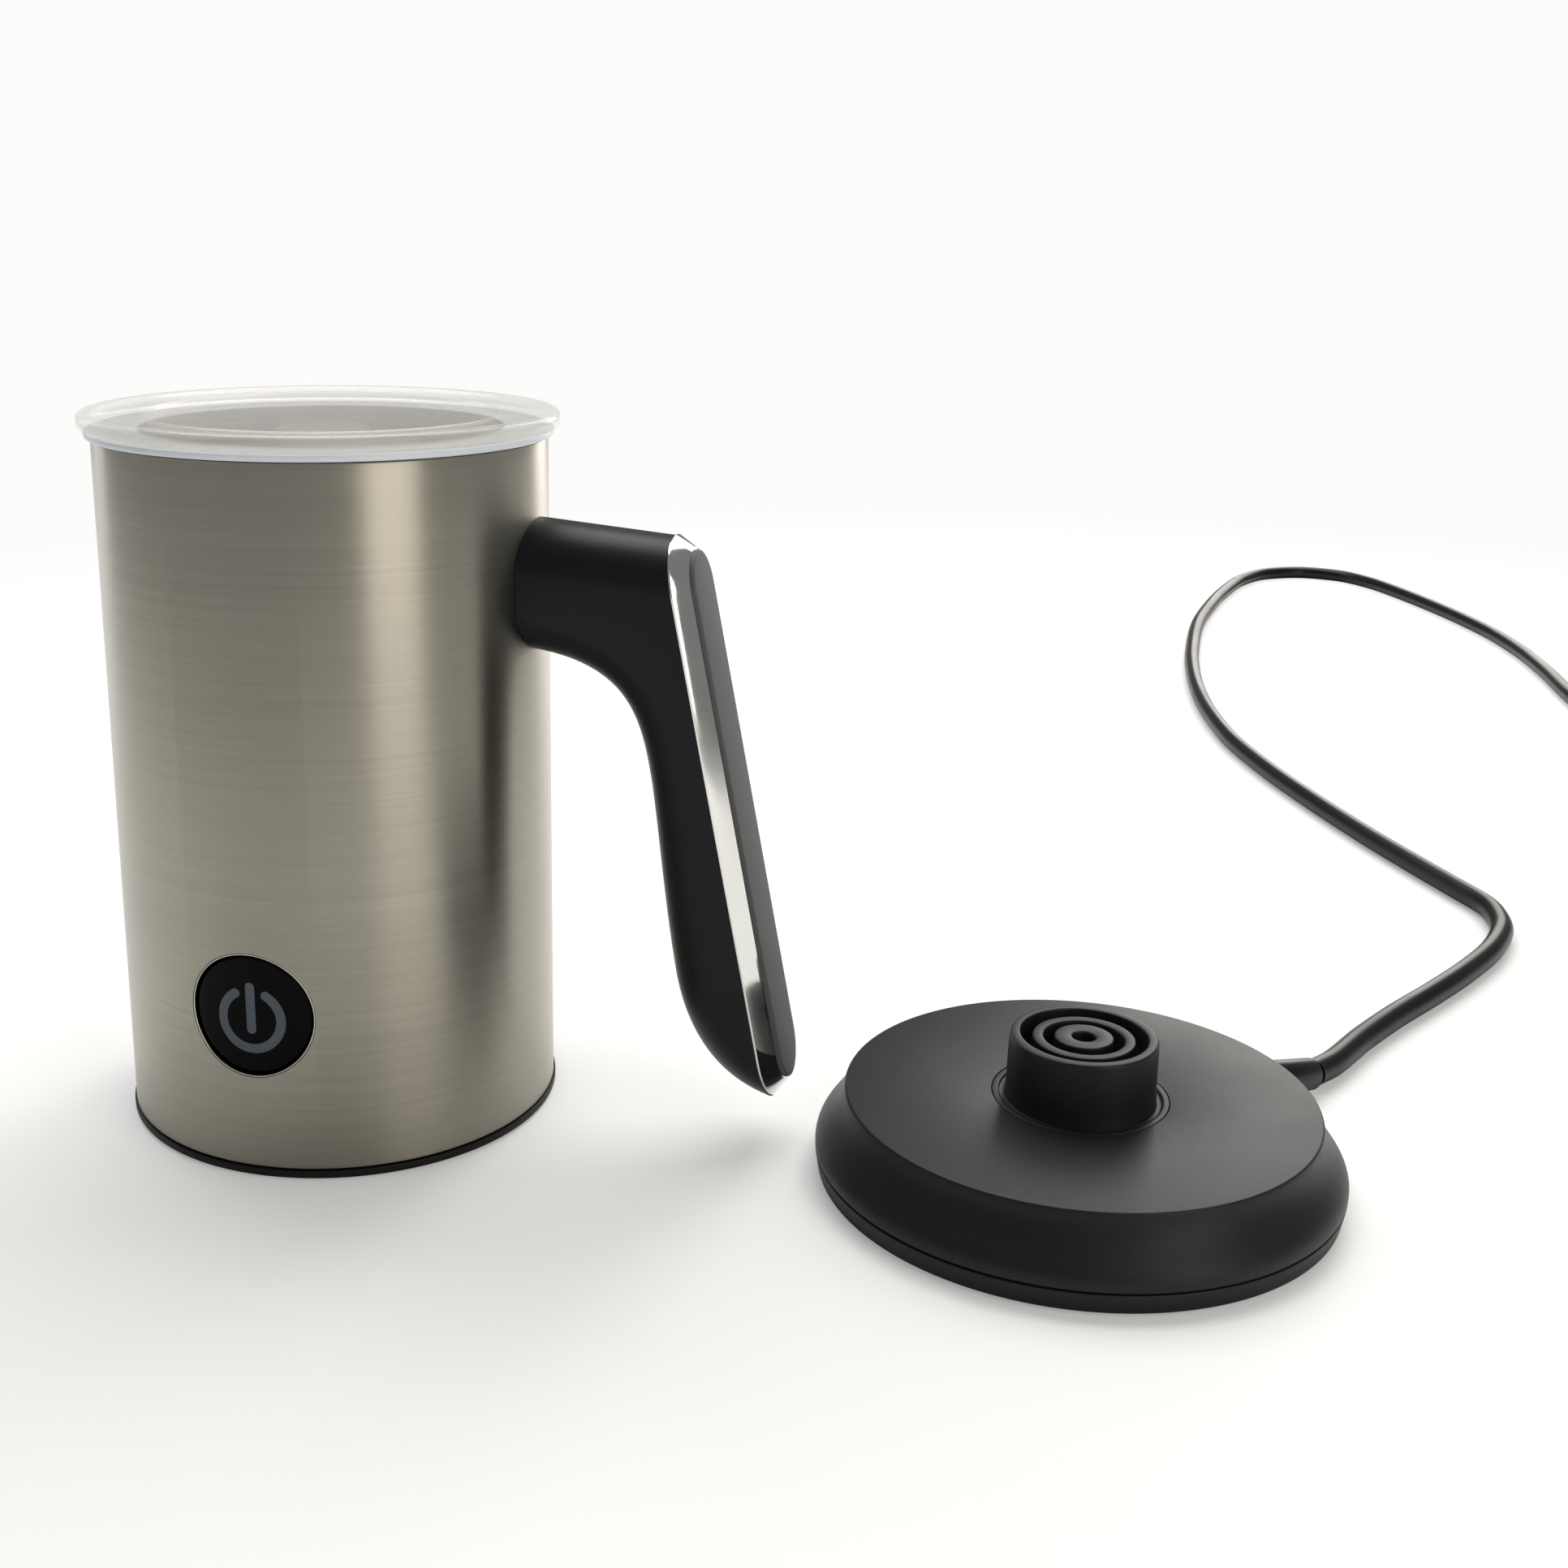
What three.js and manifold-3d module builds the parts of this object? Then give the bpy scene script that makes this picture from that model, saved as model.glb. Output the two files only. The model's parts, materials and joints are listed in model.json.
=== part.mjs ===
// A cordless milk frother: a steel jug with a frothing motor in its foot, a clear lid, and a
// round power base with a concentric connector. The jug stands beside the base.
// Millimetres, +Z up, the floor at z = 0, +X along the handle, -Y the side with the power button.
import * as THREE from "three";
import { mergeVertices } from "three/addons/utils/BufferGeometryUtils.js";
import Module from "manifold-3d";

const wasm = await Module();
wasm.setup();

// Driving dimensions
const gap = 0.3; // left between neighbouring pieces
const round = 36; // facets round a large ring
const coarse = 16; // facets round a small one

const jug = { x: -81.4, y: 2.5 };
const base = { x: 76.6, y: 0 };

const shell = { radius: 45, wall: 0.8, bottom: 2.4, top: 142.3 };
const pot = { radius: 39, wall: 0.8, underside: 52, corner: 6, brim: 141.2 };
const foot = { radius: 45.4, top: 2.1, floor: 1.2, plate: 1.8 };
const socket = { bore: 15.7, wall: 1.6, ceiling: 13.8, contacts: 6.5, flange: 23 };

const lid = { radius: 47.6, top: 147.3, underside: 144.2, skirt: 36.1 };
const seal = { lip: 46.2, bottom: 142.6, plug: 37.8, plugBottom: 137.6 };
const holder = { radius: 9.4, wall: 1.6, bottom: 129, slots: 6 };

const button = { z: 34.6, radius: 12.1, recess: 0.5, bezel: 0.3, hole: 13 };

const grip = { top: { r: 72.9, z: 125.5 }, slope: 0.199, length: 118, width: 22 };
const stub = { top: 128.6, bottom: 101.8 };
const trim = { edge: 0.4, chamfer: 3, land: 0.4 };
const inlay = { proud: 0.9, rounding: 0.6 };

const motor = { radius: 12, low: 19, high: 38, shaft: 1.15 };
const carrier = { radius: 13, low: 42.6, high: 48.6, magnetRadius: 4, magnetOrbit: 7.5 };
const chassisPlate = { radius: 38, low: 38.3, high: 40, flat: -28 };
const board = { front: -31.6, back: -30, width: 34, low: 22, high: 46 };
const tactSwitch = { half: 3.1, reach: 3.4, bore: 1.8 };
const whisk = { foot: 11, low: pot.underside + pot.wall + 0.8, hub: 4.2, top: 66, rim: 13.4, coil: 1.7 };
const screw = { head: 2.8, shank: 1.4, hole: 1.8, pilot: 1.7 };
const handleScrewHeights = [109, 121];

const disc = { radius: 46.7, top: 17.9, band: 52.4, seam: 5, bottom: 0.5, skin: 1.8 };
const boss = { top: 30.8, floor: 19, contacts: 24.1, flange: 17.4 };

const cord = { diameter: 6, lies: 3.05, exitAngle: 47, exitHeight: 7, reliefEnd: 71.5, reliefDrop: 3 };
const plug = { nose: 20, length: 36, width: 35, thickness: 13.7, axis: 7, heading: -62 };
const pin = { radius: 2, length: 19, pitch: 19 };

// Materials
const finish = (color, metalness, roughness, extra = {}) => () =>
  new THREE.MeshStandardMaterial({ color, metalness, roughness, ...extra });
const brushedSteel = finish(0xb3b1a8, 1, 0.34);
const polishedSteel = finish(0xc8c8c6, 1, 0.15);
const chrome = finish(0xd8d8d8, 1, 0.06);
const brass = finish(0xb9964c, 1, 0.3);
const copper = finish(0xa8643a, 1, 0.35);
const blackPlastic = finish(0x232526, 0, 0.55);
const greyPlastic = finish(0x4a4c4e, 0, 0.6);
const glossBlack = finish(0x08090b, 0, 0.12);
const softGrey = finish(0x5a5b5c, 0, 0.75);
const blackRubber = finish(0x1c1d1e, 0, 0.8);
const clearPlastic = finish(0xdfe4e6, 0, 0.1, { transparent: true, opacity: 0.35 });
const silicone = finish(0xb9c6cf, 0, 0.45);
const circuitGreen = finish(0x2c5a3c, 0, 0.5);
const magnetic = finish(0x6c6e72, 1, 0.4);

// Solids
function solidOf(geometry) {
  const bare = new THREE.BufferGeometry().setAttribute("position", geometry.getAttribute("position"));
  if (geometry.index) bare.setIndex(geometry.index);
  const merged = mergeVertices(bare, 1e-4);
  return new wasm.Manifold(
    new wasm.Mesh({
      numProp: 3,
      vertProperties: new Float32Array(merged.attributes.position.array),
      triVerts: new Uint32Array(merged.index.array),
    }),
  );
}

function geometryOf(solid) {
  const { vertProperties, triVerts } = solid.getMesh();
  const made = new THREE.BufferGeometry().setAttribute(
    "position",
    new THREE.BufferAttribute(new Float32Array(vertProperties), 3),
  );
  made.setIndex(new THREE.BufferAttribute(new Uint32Array(triVerts), 1));
  return made;
}

const cut = (whole, ...tools) =>
  geometryOf(tools.reduce((rest, tool) => rest.subtract(solidOf(tool)), solidOf(whole)));
const join = (first, ...others) =>
  geometryOf(others.reduce((sum, other) => sum.add(solidOf(other)), solidOf(first)));
const common = (first, second) => geometryOf(solidOf(first).intersect(solidOf(second)));

// A solid of revolution about Z from its [radius, height] outline.
function turned(outline, segments = round) {
  const points = outline.map(([r, z]) => new THREE.Vector2(r, z));
  if (THREE.ShapeUtils.isClockWise(points)) points.reverse();
  points.push(points[0].clone());
  return new THREE.LatheGeometry(points, segments).rotateX(Math.PI / 2);
}

const ring = (inner, outer, low, high, segments = round) =>
  turned([[inner, low], [outer, low], [outer, high], [inner, high]], segments);

const rod = (radius, low, high, x = 0, y = 0, segments = coarse) =>
  new THREE.CylinderGeometry(radius, radius, high - low, segments)
    .rotateX(Math.PI / 2)
    .translate(x, y, (low + high) / 2);

const block = ([x0, x1], [y0, y1], [z0, z1]) =>
  new THREE.BoxGeometry(x1 - x0, y1 - y0, z1 - z0).translate((x0 + x1) / 2, (y0 + y1) / 2, (z0 + z1) / 2);

const around = (count, radius, start = 0) =>
  Array.from({ length: count }, (_, i) => {
    const angle = THREE.MathUtils.degToRad(start + (360 * i) / count);
    return [radius * Math.cos(angle), radius * Math.sin(angle)];
  });

// The assembly
const frother = new THREE.Group();
const jugGroup = new THREE.Group();
const baseGroup = new THREE.Group();
jugGroup.position.set(jug.x, jug.y, 0);
baseGroup.position.set(base.x, base.y, 0);
frother.add(jugGroup, baseGroup);

function piece(group, name, geometry, material) {
  const mesh = new THREE.Mesh(geometry, material());
  mesh.name = name;
  group.add(mesh);
}

// Jug: shell, pot and foot
const buttonAxis = (radius, near, far, segments = 28) =>
  new THREE.CylinderGeometry(radius, radius, far - near, segments)
    .translate(0, -(near + far) / 2, button.z);

const alongX = (radius, near, far, z, segments = 10) =>
  new THREE.CylinderGeometry(radius, radius, far - near, segments)
    .rotateZ(Math.PI / 2)
    .translate((near + far) / 2, 0, z);

function jugShell() {
  const tube = ring(shell.radius - shell.wall, shell.radius, shell.bottom, shell.top, 48);
  const screwHoles = handleScrewHeights.map((z) => alongX(screw.hole, 40, 50, z));
  return cut(tube, buttonAxis(button.hole, 35, 50), ...screwHoles);
}

function innerPot() {
  const { radius, wall, underside, corner, brim } = pot;
  const outline = [[0, underside]];
  for (let i = 0; i <= 3; i++) {
    const angle = (Math.PI / 6) * i;
    outline.push([
      radius - corner + corner * Math.sin(angle),
      underside + corner - corner * Math.cos(angle),
    ]);
  }
  outline.push([radius, brim - wall], [shell.radius - shell.wall - gap, brim - wall]);
  outline.push([shell.radius - shell.wall - gap, brim], [radius - wall, brim]);
  for (let i = 3; i >= 0; i--) {
    const angle = (Math.PI / 6) * i;
    outline.push([
      radius - corner + (corner - wall) * Math.sin(angle),
      underside + corner - (corner - wall) * Math.cos(angle),
    ]);
  }
  outline.push([0, underside + wall]);
  return turned(outline);
}

const chassisPosts = around(3, 33, 90);
const hangers = around(3, 35.6, 90);

function bottomCover() {
  const rim = turned([
    [socket.bore + socket.wall + gap, foot.floor],
    [foot.radius - 1.4, foot.floor],
    [foot.radius - 1, 0.4],
    [foot.radius - 0.3, 0.4],
    [foot.radius, 0.8],
    [foot.radius, foot.top],
    [shell.radius - shell.wall - gap, foot.top],
    [shell.radius - shell.wall - gap, 8],
    [42.6, 8],
    [42.6, foot.floor + foot.plate],
    [socket.bore + socket.wall + gap, foot.floor + foot.plate],
  ]);
  const screwHoles = chassisPosts.map(([x, y]) => rod(screw.hole, 0, 4, x, y, 10));
  const grooves = ring(37.2, 41.8, 0, foot.floor + 0.8);
  return cut(rim, grooves, ...screwHoles);
}

function chassis() {
  const { radius, low, high, flat } = chassisPlate;
  const inPlate = (low + high) / 2;
  const up = hangers.map(([x, y]) => rod(1.6, inPlate, pot.underside - gap, x, y, 8));
  const down = chassisPosts.map(([x, y]) => rod(3.4, foot.floor + foot.plate + gap, inPlate, x, y, 12));
  const pilots = chassisPosts.map(([x, y]) => rod(screw.pilot, 0, 16, x, y, 8));
  const clear = cut(ring(5, radius, low, high), block([-radius, radius], [-60, flat], [low - 1, high + 1]));
  return cut(join(clear, ...up, ...down), ...pilots);
}

piece(jugGroup, "jug_shell", jugShell(), brushedSteel);
piece(jugGroup, "inner_pot", innerPot(), polishedSteel);
piece(jugGroup, "bottom_cover", bottomCover(), blackPlastic);
piece(jugGroup, "jug_foot_ring", ring(37.5, 41.5, 0, foot.floor + 0.5), blackRubber);
piece(jugGroup, "chassis", chassis(), greyPlastic);
chassisPosts.forEach(([x, y], i) => {
  const head = rod(screw.head, foot.floor - 0.9, foot.floor - gap, x, y, 10);
  piece(jugGroup, `jug_screw_${i + 1}`, join(head, rod(screw.shank, 0.5, 14, x, y, 8)), polishedSteel);
});

// Jug: the half of the connector that drops over the base's boss
function jugSocket() {
  const { bore, wall, ceiling, flange } = socket;
  const low = foot.floor + foot.plate + gap;
  return turned([
    [2.2, ceiling],
    [bore, ceiling],
    [bore, 2],
    [bore + 0.6, foot.floor],
    [bore + wall, foot.floor],
    [bore + wall, low],
    [flange, low],
    [flange, low + 1.6],
    [bore + wall, low + 1.6],
    [bore + wall, ceiling + 2],
    [2.2, ceiling + 2],
  ], 28);
}

piece(jugGroup, "jug_socket", jugSocket(), blackPlastic);
piece(jugGroup, "socket_centre_pin", rod(1.6, socket.contacts, 18, 0, 0, 10), brass);
piece(jugGroup, "socket_inner_ring", ring(6.5, 7.2, socket.contacts, socket.ceiling - gap, 20), brass);
piece(jugGroup, "socket_outer_ring", ring(10.9, 11.6, socket.contacts, socket.ceiling - gap, 24), brass);

// Jug: motor, magnets and heater
function motorCan() {
  const { radius, low, high, shaft } = motor;
  return turned([
    [0, low],
    [radius, low],
    [radius, high],
    [shaft + 0.1, high],
    [shaft + 0.1, high - 1.4],
    [radius - 1, high - 1.4],
    [radius - 1, low + 1.4],
    [0, low + 1.4],
  ], 24);
}

function armature() {
  const core = ring(motor.shaft + gap, 9, 24, 33, 24);
  const slots = around(5, 9).map(([x, y]) => rod(1.6, 20, 36, x, y, 6));
  return cut(core, ...slots);
}

function magnetCarrier() {
  const { radius, low, high, magnetRadius, magnetOrbit } = carrier;
  const body = rod(radius, low, high, 0, 0, 28);
  const pocket = ([x, y]) => rod(magnetRadius + gap, high - 3, high + 1, x, y, 14);
  const pockets = around(2, magnetOrbit).map(pocket);
  return cut(body, rod(motor.shaft + gap, low - 1, high - 1.5, 0, 0, 20), ...pockets);
}

piece(jugGroup, "motor_can", motorCan(), polishedSteel);
piece(jugGroup, "motor_shaft", rod(motor.shaft, 21, carrier.high - 2, 0, 0, 20), polishedSteel);
piece(jugGroup, "motor_armature", armature(), copper);
piece(jugGroup, "magnet_carrier", magnetCarrier(), blackPlastic);
around(2, carrier.magnetOrbit).forEach(([x, y], i) => {
  const puck = rod(carrier.magnetRadius, carrier.high - 2.7, carrier.high, x, y, 14);
  piece(jugGroup, `drive_magnet_${i + 1}`, puck, magnetic);
});
piece(jugGroup, "heating_element", ring(22, 32.5, 49.2, pot.underside - gap, 32), copper);
piece(jugGroup, "temperature_sensor", rod(2.6, 48.4, pot.underside - gap, 0, 17.6, 14), brass);

// Jug: control board, switch and button
function controlBoard() {
  const { front, back, width, low, high } = board;
  return block([-width / 2, width / 2], [front, back], [low, high]);
}

function powerSwitch() {
  const face = board.front - gap;
  const { half, reach, bore } = tactSwitch;
  const body = block([-half, half], [face - reach, face], [button.z - half, button.z + half]);
  return cut(body, buttonAxis(bore, -face + 0.9, -face + 9, 14));
}

function buttonBezel() {
  const outer = button.hole - gap;
  const sleeve = cut(buttonAxis(outer, 38.6, 48), buttonAxis(outer - button.bezel, 37, 50));
  const collar = cut(buttonAxis(outer + 2.6, 38.6, 42), buttonAxis(outer - button.bezel, 37, 50));
  const face = rod(shell.radius - 0.1, 10, 60, 0, 0, 64);
  const inside = rod(shell.radius - shell.wall - gap, 10, 60, 0, 0, 64);
  return join(common(sleeve, face), common(collar, inside));
}

function buttonCap() {
  const face = rod(shell.radius - button.recess, 10, 60, 0, 0, 64);
  const domed = common(buttonAxis(button.radius, 37, 48), face);
  const flange = buttonAxis(button.radius + 1.2, 36.6, 38.2);
  return join(domed, flange);
}

// The stem reaches 1.8 mm into the switch, which leaves its travel and 0.1 mm behind its tip.
const stemTip = -board.front + gap + tactSwitch.reach - 1.8;
piece(jugGroup, "control_board", controlBoard(), circuitGreen);
piece(jugGroup, "power_switch", powerSwitch(), greyPlastic);
piece(jugGroup, "switch_plunger", buttonAxis(1.5, stemTip, 36.6 - gap, 14), greyPlastic);
piece(jugGroup, "power_relay", block([-14, -5], [board.back + gap, board.back + 8], [26, 37]), greyPlastic);
piece(jugGroup, "button_bezel", buttonBezel(), polishedSteel);
piece(jugGroup, "power_button", buttonCap(), glossBlack);

// Jug: handle
// The handle is drawn in its middle plane: x is the distance from the jug's axis, y the height.
const gripTilt = Math.atan(grip.slope);
const gripDown = { r: Math.sin(gripTilt), z: -Math.cos(gripTilt) };

// Takes a shape drawn in XY, its top at the origin and its face along +Z, onto the grip's back.
const gripFrame = new THREE.Matrix4()
  .makeBasis(
    new THREE.Vector3(0, 1, 0),
    new THREE.Vector3(-gripDown.r, 0, -gripDown.z),
    new THREE.Vector3(-gripDown.z, 0, gripDown.r),
  )
  .setPosition(grip.top.r, 0, grip.top.z);

// A stadium of the grip's outline, drawn in by an even inset.
function stadium(inset) {
  const r = grip.width / 2 - inset;
  const outline = new THREE.Shape();
  outline.absarc(0, -grip.width / 2, r, 0, Math.PI, false);
  outline.absarc(0, -grip.length + grip.width / 2, r, Math.PI, 2 * Math.PI, false);
  outline.closePath();
  return outline;
}

function stadiumPrism(inset, low, high) {
  const options = { depth: high - low, bevelEnabled: false, curveSegments: 8 };
  return new THREE.ExtrudeGeometry(stadium(inset), options).translate(0, 0, low);
}

// A stadium from low to high whose upper edge is bevelled, and whose lower edge is left square.
function bevelledStadium(inset, low, high, size, height, segments) {
  const sunk = 10;
  const whole = new THREE.ExtrudeGeometry(stadium(inset), {
    depth: high - low - height + sunk,
    bevelThickness: height,
    bevelSize: size,
    bevelOffset: -size,
    bevelSegments: segments,
    curveSegments: 8,
  }).translate(0, 0, low - sunk);
  return cut(whole, block([-50, 50], [-200, 50], [low - 50, low]));
}

function handleOutline() {
  const end = { r: grip.top.r + grip.length * gripDown.r, z: grip.top.z + grip.length * gripDown.z };
  const beyond = 15;
  const outline = new THREE.Shape();
  outline.moveTo(38, stub.bottom);
  outline.bezierCurveTo(64, stub.bottom - 1, 66.6, 91, 69.2, 75);
  outline.bezierCurveTo(70.8, 64, 72.2, 48, 74.6, 35);
  outline.bezierCurveTo(77, 23, 83, 13.4, end.r - 1, end.z);
  outline.lineTo(end.r + beyond, end.z - 4);
  outline.lineTo(grip.top.r + beyond, grip.top.z - 1.4);
  outline.lineTo(38, stub.top);
  outline.closePath();
  return outline;
}

function handleBody() {
  const middle = 0.4;
  const rounding = (grip.width - middle) / 2;
  const bar = new THREE.ExtrudeGeometry(handleOutline(), {
    depth: middle,
    curveSegments: 6,
    bevelThickness: rounding,
    bevelSize: 10,
    bevelOffset: -10,
    bevelSegments: 5,
  }).translate(0, 0, -middle / 2);
  bar.rotateX(Math.PI / 2);
  const beyond = block([-60, 60], [-200, 90], [-gap, 60]).applyMatrix4(gripFrame);
  const pocket = stadiumPrism(6, -6, 1).applyMatrix4(gripFrame);
  const drum = rod(shell.radius + gap, 80, 150, 0, 0, 64);
  const bores = handleScrewHeights.map((z) => alongX(screw.hole, 40, 56, z, 12));
  return cut(bar, beyond, pocket, drum, ...bores);
}

function handleTrim() {
  const frame = bevelledStadium(0, 0, trim.edge + trim.chamfer, trim.chamfer, trim.chamfer, 1);
  return cut(frame, stadiumPrism(trim.chamfer + trim.land, -1, 9)).applyMatrix4(gripFrame);
}

function gripInlay() {
  const height = trim.edge + trim.chamfer + inlay.proud;
  const inset = trim.chamfer + trim.land + gap;
  return bevelledStadium(inset, 0, height, inlay.rounding, inlay.rounding, 2).applyMatrix4(gripFrame);
}

function handleBracket() {
  const behind = shell.radius - shell.wall - gap;
  const sleeve = ring(behind - 1.2, behind, 103, 127, 64);
  const holes = handleScrewHeights.map((z) => alongX(screw.hole, 40, 50, z));
  return cut(common(sleeve, block([35, 50], [-9, 9], [103, 127])), ...holes);
}

piece(jugGroup, "handle_body", handleBody(), blackPlastic);
piece(jugGroup, "handle_trim", handleTrim(), chrome);
piece(jugGroup, "grip_inlay", gripInlay(), softGrey);
piece(jugGroup, "handle_bracket", handleBracket(), polishedSteel);
handleScrewHeights.forEach((z, i) => {
  const turnedScrew = join(alongX(screw.head, 40.4, 42, z, 10), alongX(screw.shank, 41, 54, z, 8));
  piece(jugGroup, `handle_screw_${i + 1}`, turnedScrew, polishedSteel);
});

// Jug: whisk
function whiskFrame() {
  const { foot: radius, low, hub, top, rim } = whisk;
  const spokes = around(3, 1).map(([x, y]) =>
    block([hub - 1, rim - 0.4], [-0.9, 0.9], [low + 2.2, low + 3.8]).rotateZ(Math.atan2(y, x)),
  );
  const body = join(
    rod(radius, low, low + 2.8, 0, 0, 24),
    rod(hub, low + 1, top, 0, 0, 20),
    ring(rim - 1, rim, low + 2.4, low + 4, 28),
    ...spokes,
  );
  const pockets = around(2, 7).map(([x, y]) => rod(3.2, low - 1, low + 2, x, y, 12));
  return cut(body, rod(1.8, low - 1, top - 1.5, 0, 0, 16), ...pockets);
}

function whiskCoil() {
  const orbit = whisk.rim + gap + whisk.coil;
  const outline = around(8, whisk.coil).map(([x, y]) => [orbit + x, whisk.low + 3.2 + y]);
  return turned(outline, 28);
}

const spindle = rod(1.5, pot.underside + pot.wall + gap, whisk.top - 2, 0, 0, 16);
piece(jugGroup, "whisk_spindle", spindle, polishedSteel);
piece(jugGroup, "whisk_frame", whiskFrame(), blackPlastic);
piece(jugGroup, "whisk_coil", whiskCoil(), polishedSteel);
around(2, 7).forEach(([x, y], i) => {
  piece(jugGroup, `whisk_magnet_${i + 1}`, rod(2.9, whisk.low, whisk.low + 1.7, x, y, 12), magnetic);
});

// Lid
function lidCover() {
  const { radius, top, underside, skirt } = lid;
  return turned([
    [0, underside - 0.3],
    [skirt - 1.1, underside - 0.3],
    [skirt - 1.1, underside - 6],
    [skirt, underside - 6],
    [skirt, underside],
    [radius - 0.8, underside],
    [radius - 0.2, underside + 0.6],
    [radius, underside + 1.5],
    [radius - 0.2, top - 0.7],
    [radius - 1, top],
    [radius - 3, top],
    [radius - 4, top - 0.7],
    [35.6, top - 0.7],
    [34.6, top - 1.7],
    [0, top - 1.7],
  ]);
}

function lidSeal() {
  const { lip, bottom, plug: outer, plugBottom } = seal;
  const inner = lid.skirt + gap;
  return turned([
    [inner, plugBottom],
    [outer, plugBottom],
    [outer, bottom],
    [lip, bottom],
    [lip, lid.underside - gap],
    [inner, lid.underside - gap],
  ]);
}

function whiskHolder() {
  const { radius, wall, bottom, slots } = holder;
  const top = lid.underside - 0.3 - gap;
  const cup = cut(rod(radius, bottom, top, 0, 0, 24), rod(radius - wall, bottom - 1, top - 1.6, 0, 0, 24));
  const cuts = Array.from({ length: slots / 2 }, (_, i) =>
    block([-20, 20], [-0.8, 0.8], [bottom - 1, top - 3]).rotateZ((Math.PI * 2 * i) / slots),
  );
  return cut(cup, ...cuts);
}

piece(jugGroup, "lid_cover", lidCover(), clearPlastic);
piece(jugGroup, "lid_seal", lidSeal(), silicone);
piece(jugGroup, "whisk_holder", whiskHolder(), clearPlastic);

// Power base: covers, feet and screws
const basePosts = around(3, 30, 90);
const baseFeet = around(3, 42, 30);

// The strain relief runs outwards from the wall and dips towards the floor.
function alongRelief(outline, segments = 16) {
  const drop = Math.atan2(cord.reliefDrop, cord.reliefEnd - disc.band);
  return turned(outline.map(([along, r]) => [r, along - disc.band]), segments)
    .rotateY(Math.PI / 2 + drop)
    .translate(disc.band, 0, cord.exitHeight)
    .rotateZ(THREE.MathUtils.degToRad(cord.exitAngle));
}

const reliefOutline = (clearance) => [
  [46, 0],
  [46, 4.9 + clearance],
  [48.6, 4.9 + clearance],
  [48.6, 3.7 + clearance],
  [53, 3.7 + clearance],
  [53, 4.5 + clearance],
  [cord.reliefEnd, 3.5 + clearance],
  [cord.reliefEnd, 0],
];

function lowerCover() {
  const { band, seam, bottom } = disc;
  const dish = turned([
    [0, bottom],
    [band - 1.4, bottom],
    [band - 0.7, bottom + 0.5],
    [band, seam],
    [band - 1.8, seam],
    [band - 2.4, bottom + disc.skin],
    [0, bottom + disc.skin],
  ], 40);
  const bosses = basePosts.map(([x, y]) => rod(5, 1, 4.4, x, y, 16));
  const counterbores = basePosts.map(([x, y]) => rod(3.2, 0, 2.6, x, y, 12));
  const holes = basePosts.map(([x, y]) => rod(screw.hole, 0, 6, x, y, 10));
  const footRecesses = baseFeet.map(([x, y]) => rod(5.3, 0, 1.5, x, y, 16));
  const tools = [...counterbores, ...holes, ...footRecesses, alongRelief(reliefOutline(gap))];
  return cut(join(dish, ...bosses), ...tools);
}

function upperCover() {
  const { radius, top, band, seam, skin } = disc;
  const flare = new THREE.CatmullRomCurve3(
    [[band, seam + gap], [band - 0.4, 7.3], [49.9, 10.6], [48, 13.8], [radius, top]].map(
      ([r, z]) => new THREE.Vector3(r, z, 0),
    ),
  ).getPoints(5).map((p) => [p.x, p.y]);
  const inner = [...flare].reverse().slice(1, -1).map(([r, z]) => [r - skin, z]);
  const dish = turned([
    ...flare,
    [boss.flange + gap, top],
    [boss.flange + gap, top - skin],
    [radius - skin, top - skin],
    ...inner.filter(([, z]) => z < top - skin),
    [band - skin, seam + gap],
  ], 40);
  const posts = basePosts.map(([x, y]) => rod(3.5, 4.8, top - 1, x, y, 12));
  const pilots = basePosts.map(([x, y]) => rod(screw.pilot, 4, 14, x, y, 8));
  return cut(join(dish, ...posts), ...pilots, alongRelief(reliefOutline(gap)));
}

piece(baseGroup, "base_lower_cover", lowerCover(), blackPlastic);
piece(baseGroup, "base_upper_cover", upperCover(), blackPlastic);
baseFeet.forEach(([x, y], i) => {
  piece(baseGroup, `base_foot_${i + 1}`, rod(5, 0, 1.2, x, y, 16), blackRubber);
});
basePosts.forEach(([x, y], i) => {
  const coverScrew = join(rod(screw.head, 1, 2.3, x, y, 10), rod(screw.shank, 2, 12, x, y, 8));
  piece(baseGroup, `base_screw_${i + 1}`, coverScrew, polishedSteel);
});

// Power base: connector
function connectorHousing() {
  const { top, floor, flange } = boss;
  return turned([
    [0, disc.top - disc.skin],
    [flange, disc.top - disc.skin],
    [flange, disc.top],
    [16.2, disc.top],
    [15.9, disc.top - 0.5],
    [15, disc.top - 0.5],
    [15, floor],
    [14.6, top - 0.6],
    [14.1, top],
    [12.8, top],
    [12.4, top - 0.4],
    [12.4, floor],
    [0, floor],
  ], 28);
}

const collarOutline = (inner, outer, high) => [
  [inner, boss.floor + gap],
  [outer, boss.floor + gap],
  [outer, high - 0.4],
  [outer - 0.4, high],
  [inner + 0.4, high],
  [inner, high - 0.4],
];

piece(baseGroup, "connector_housing", connectorHousing(), blackPlastic);
piece(baseGroup, "connector_collar", turned(collarOutline(7.9, 10.1, 30.2), 28), blackPlastic);
piece(baseGroup, "connector_hub", turned(collarOutline(2.3, 5.8, 30.4), 20), blackPlastic);
piece(baseGroup, "outer_contact", ring(10.5, 12, boss.floor + gap, boss.contacts, 24), brass);
piece(baseGroup, "inner_contact", ring(6.2, 7.5, boss.floor + gap, boss.contacts, 20), brass);
piece(baseGroup, "centre_contact", rod(1.9, boss.floor + gap, boss.contacts, 0, 0, 10), brass);

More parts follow.
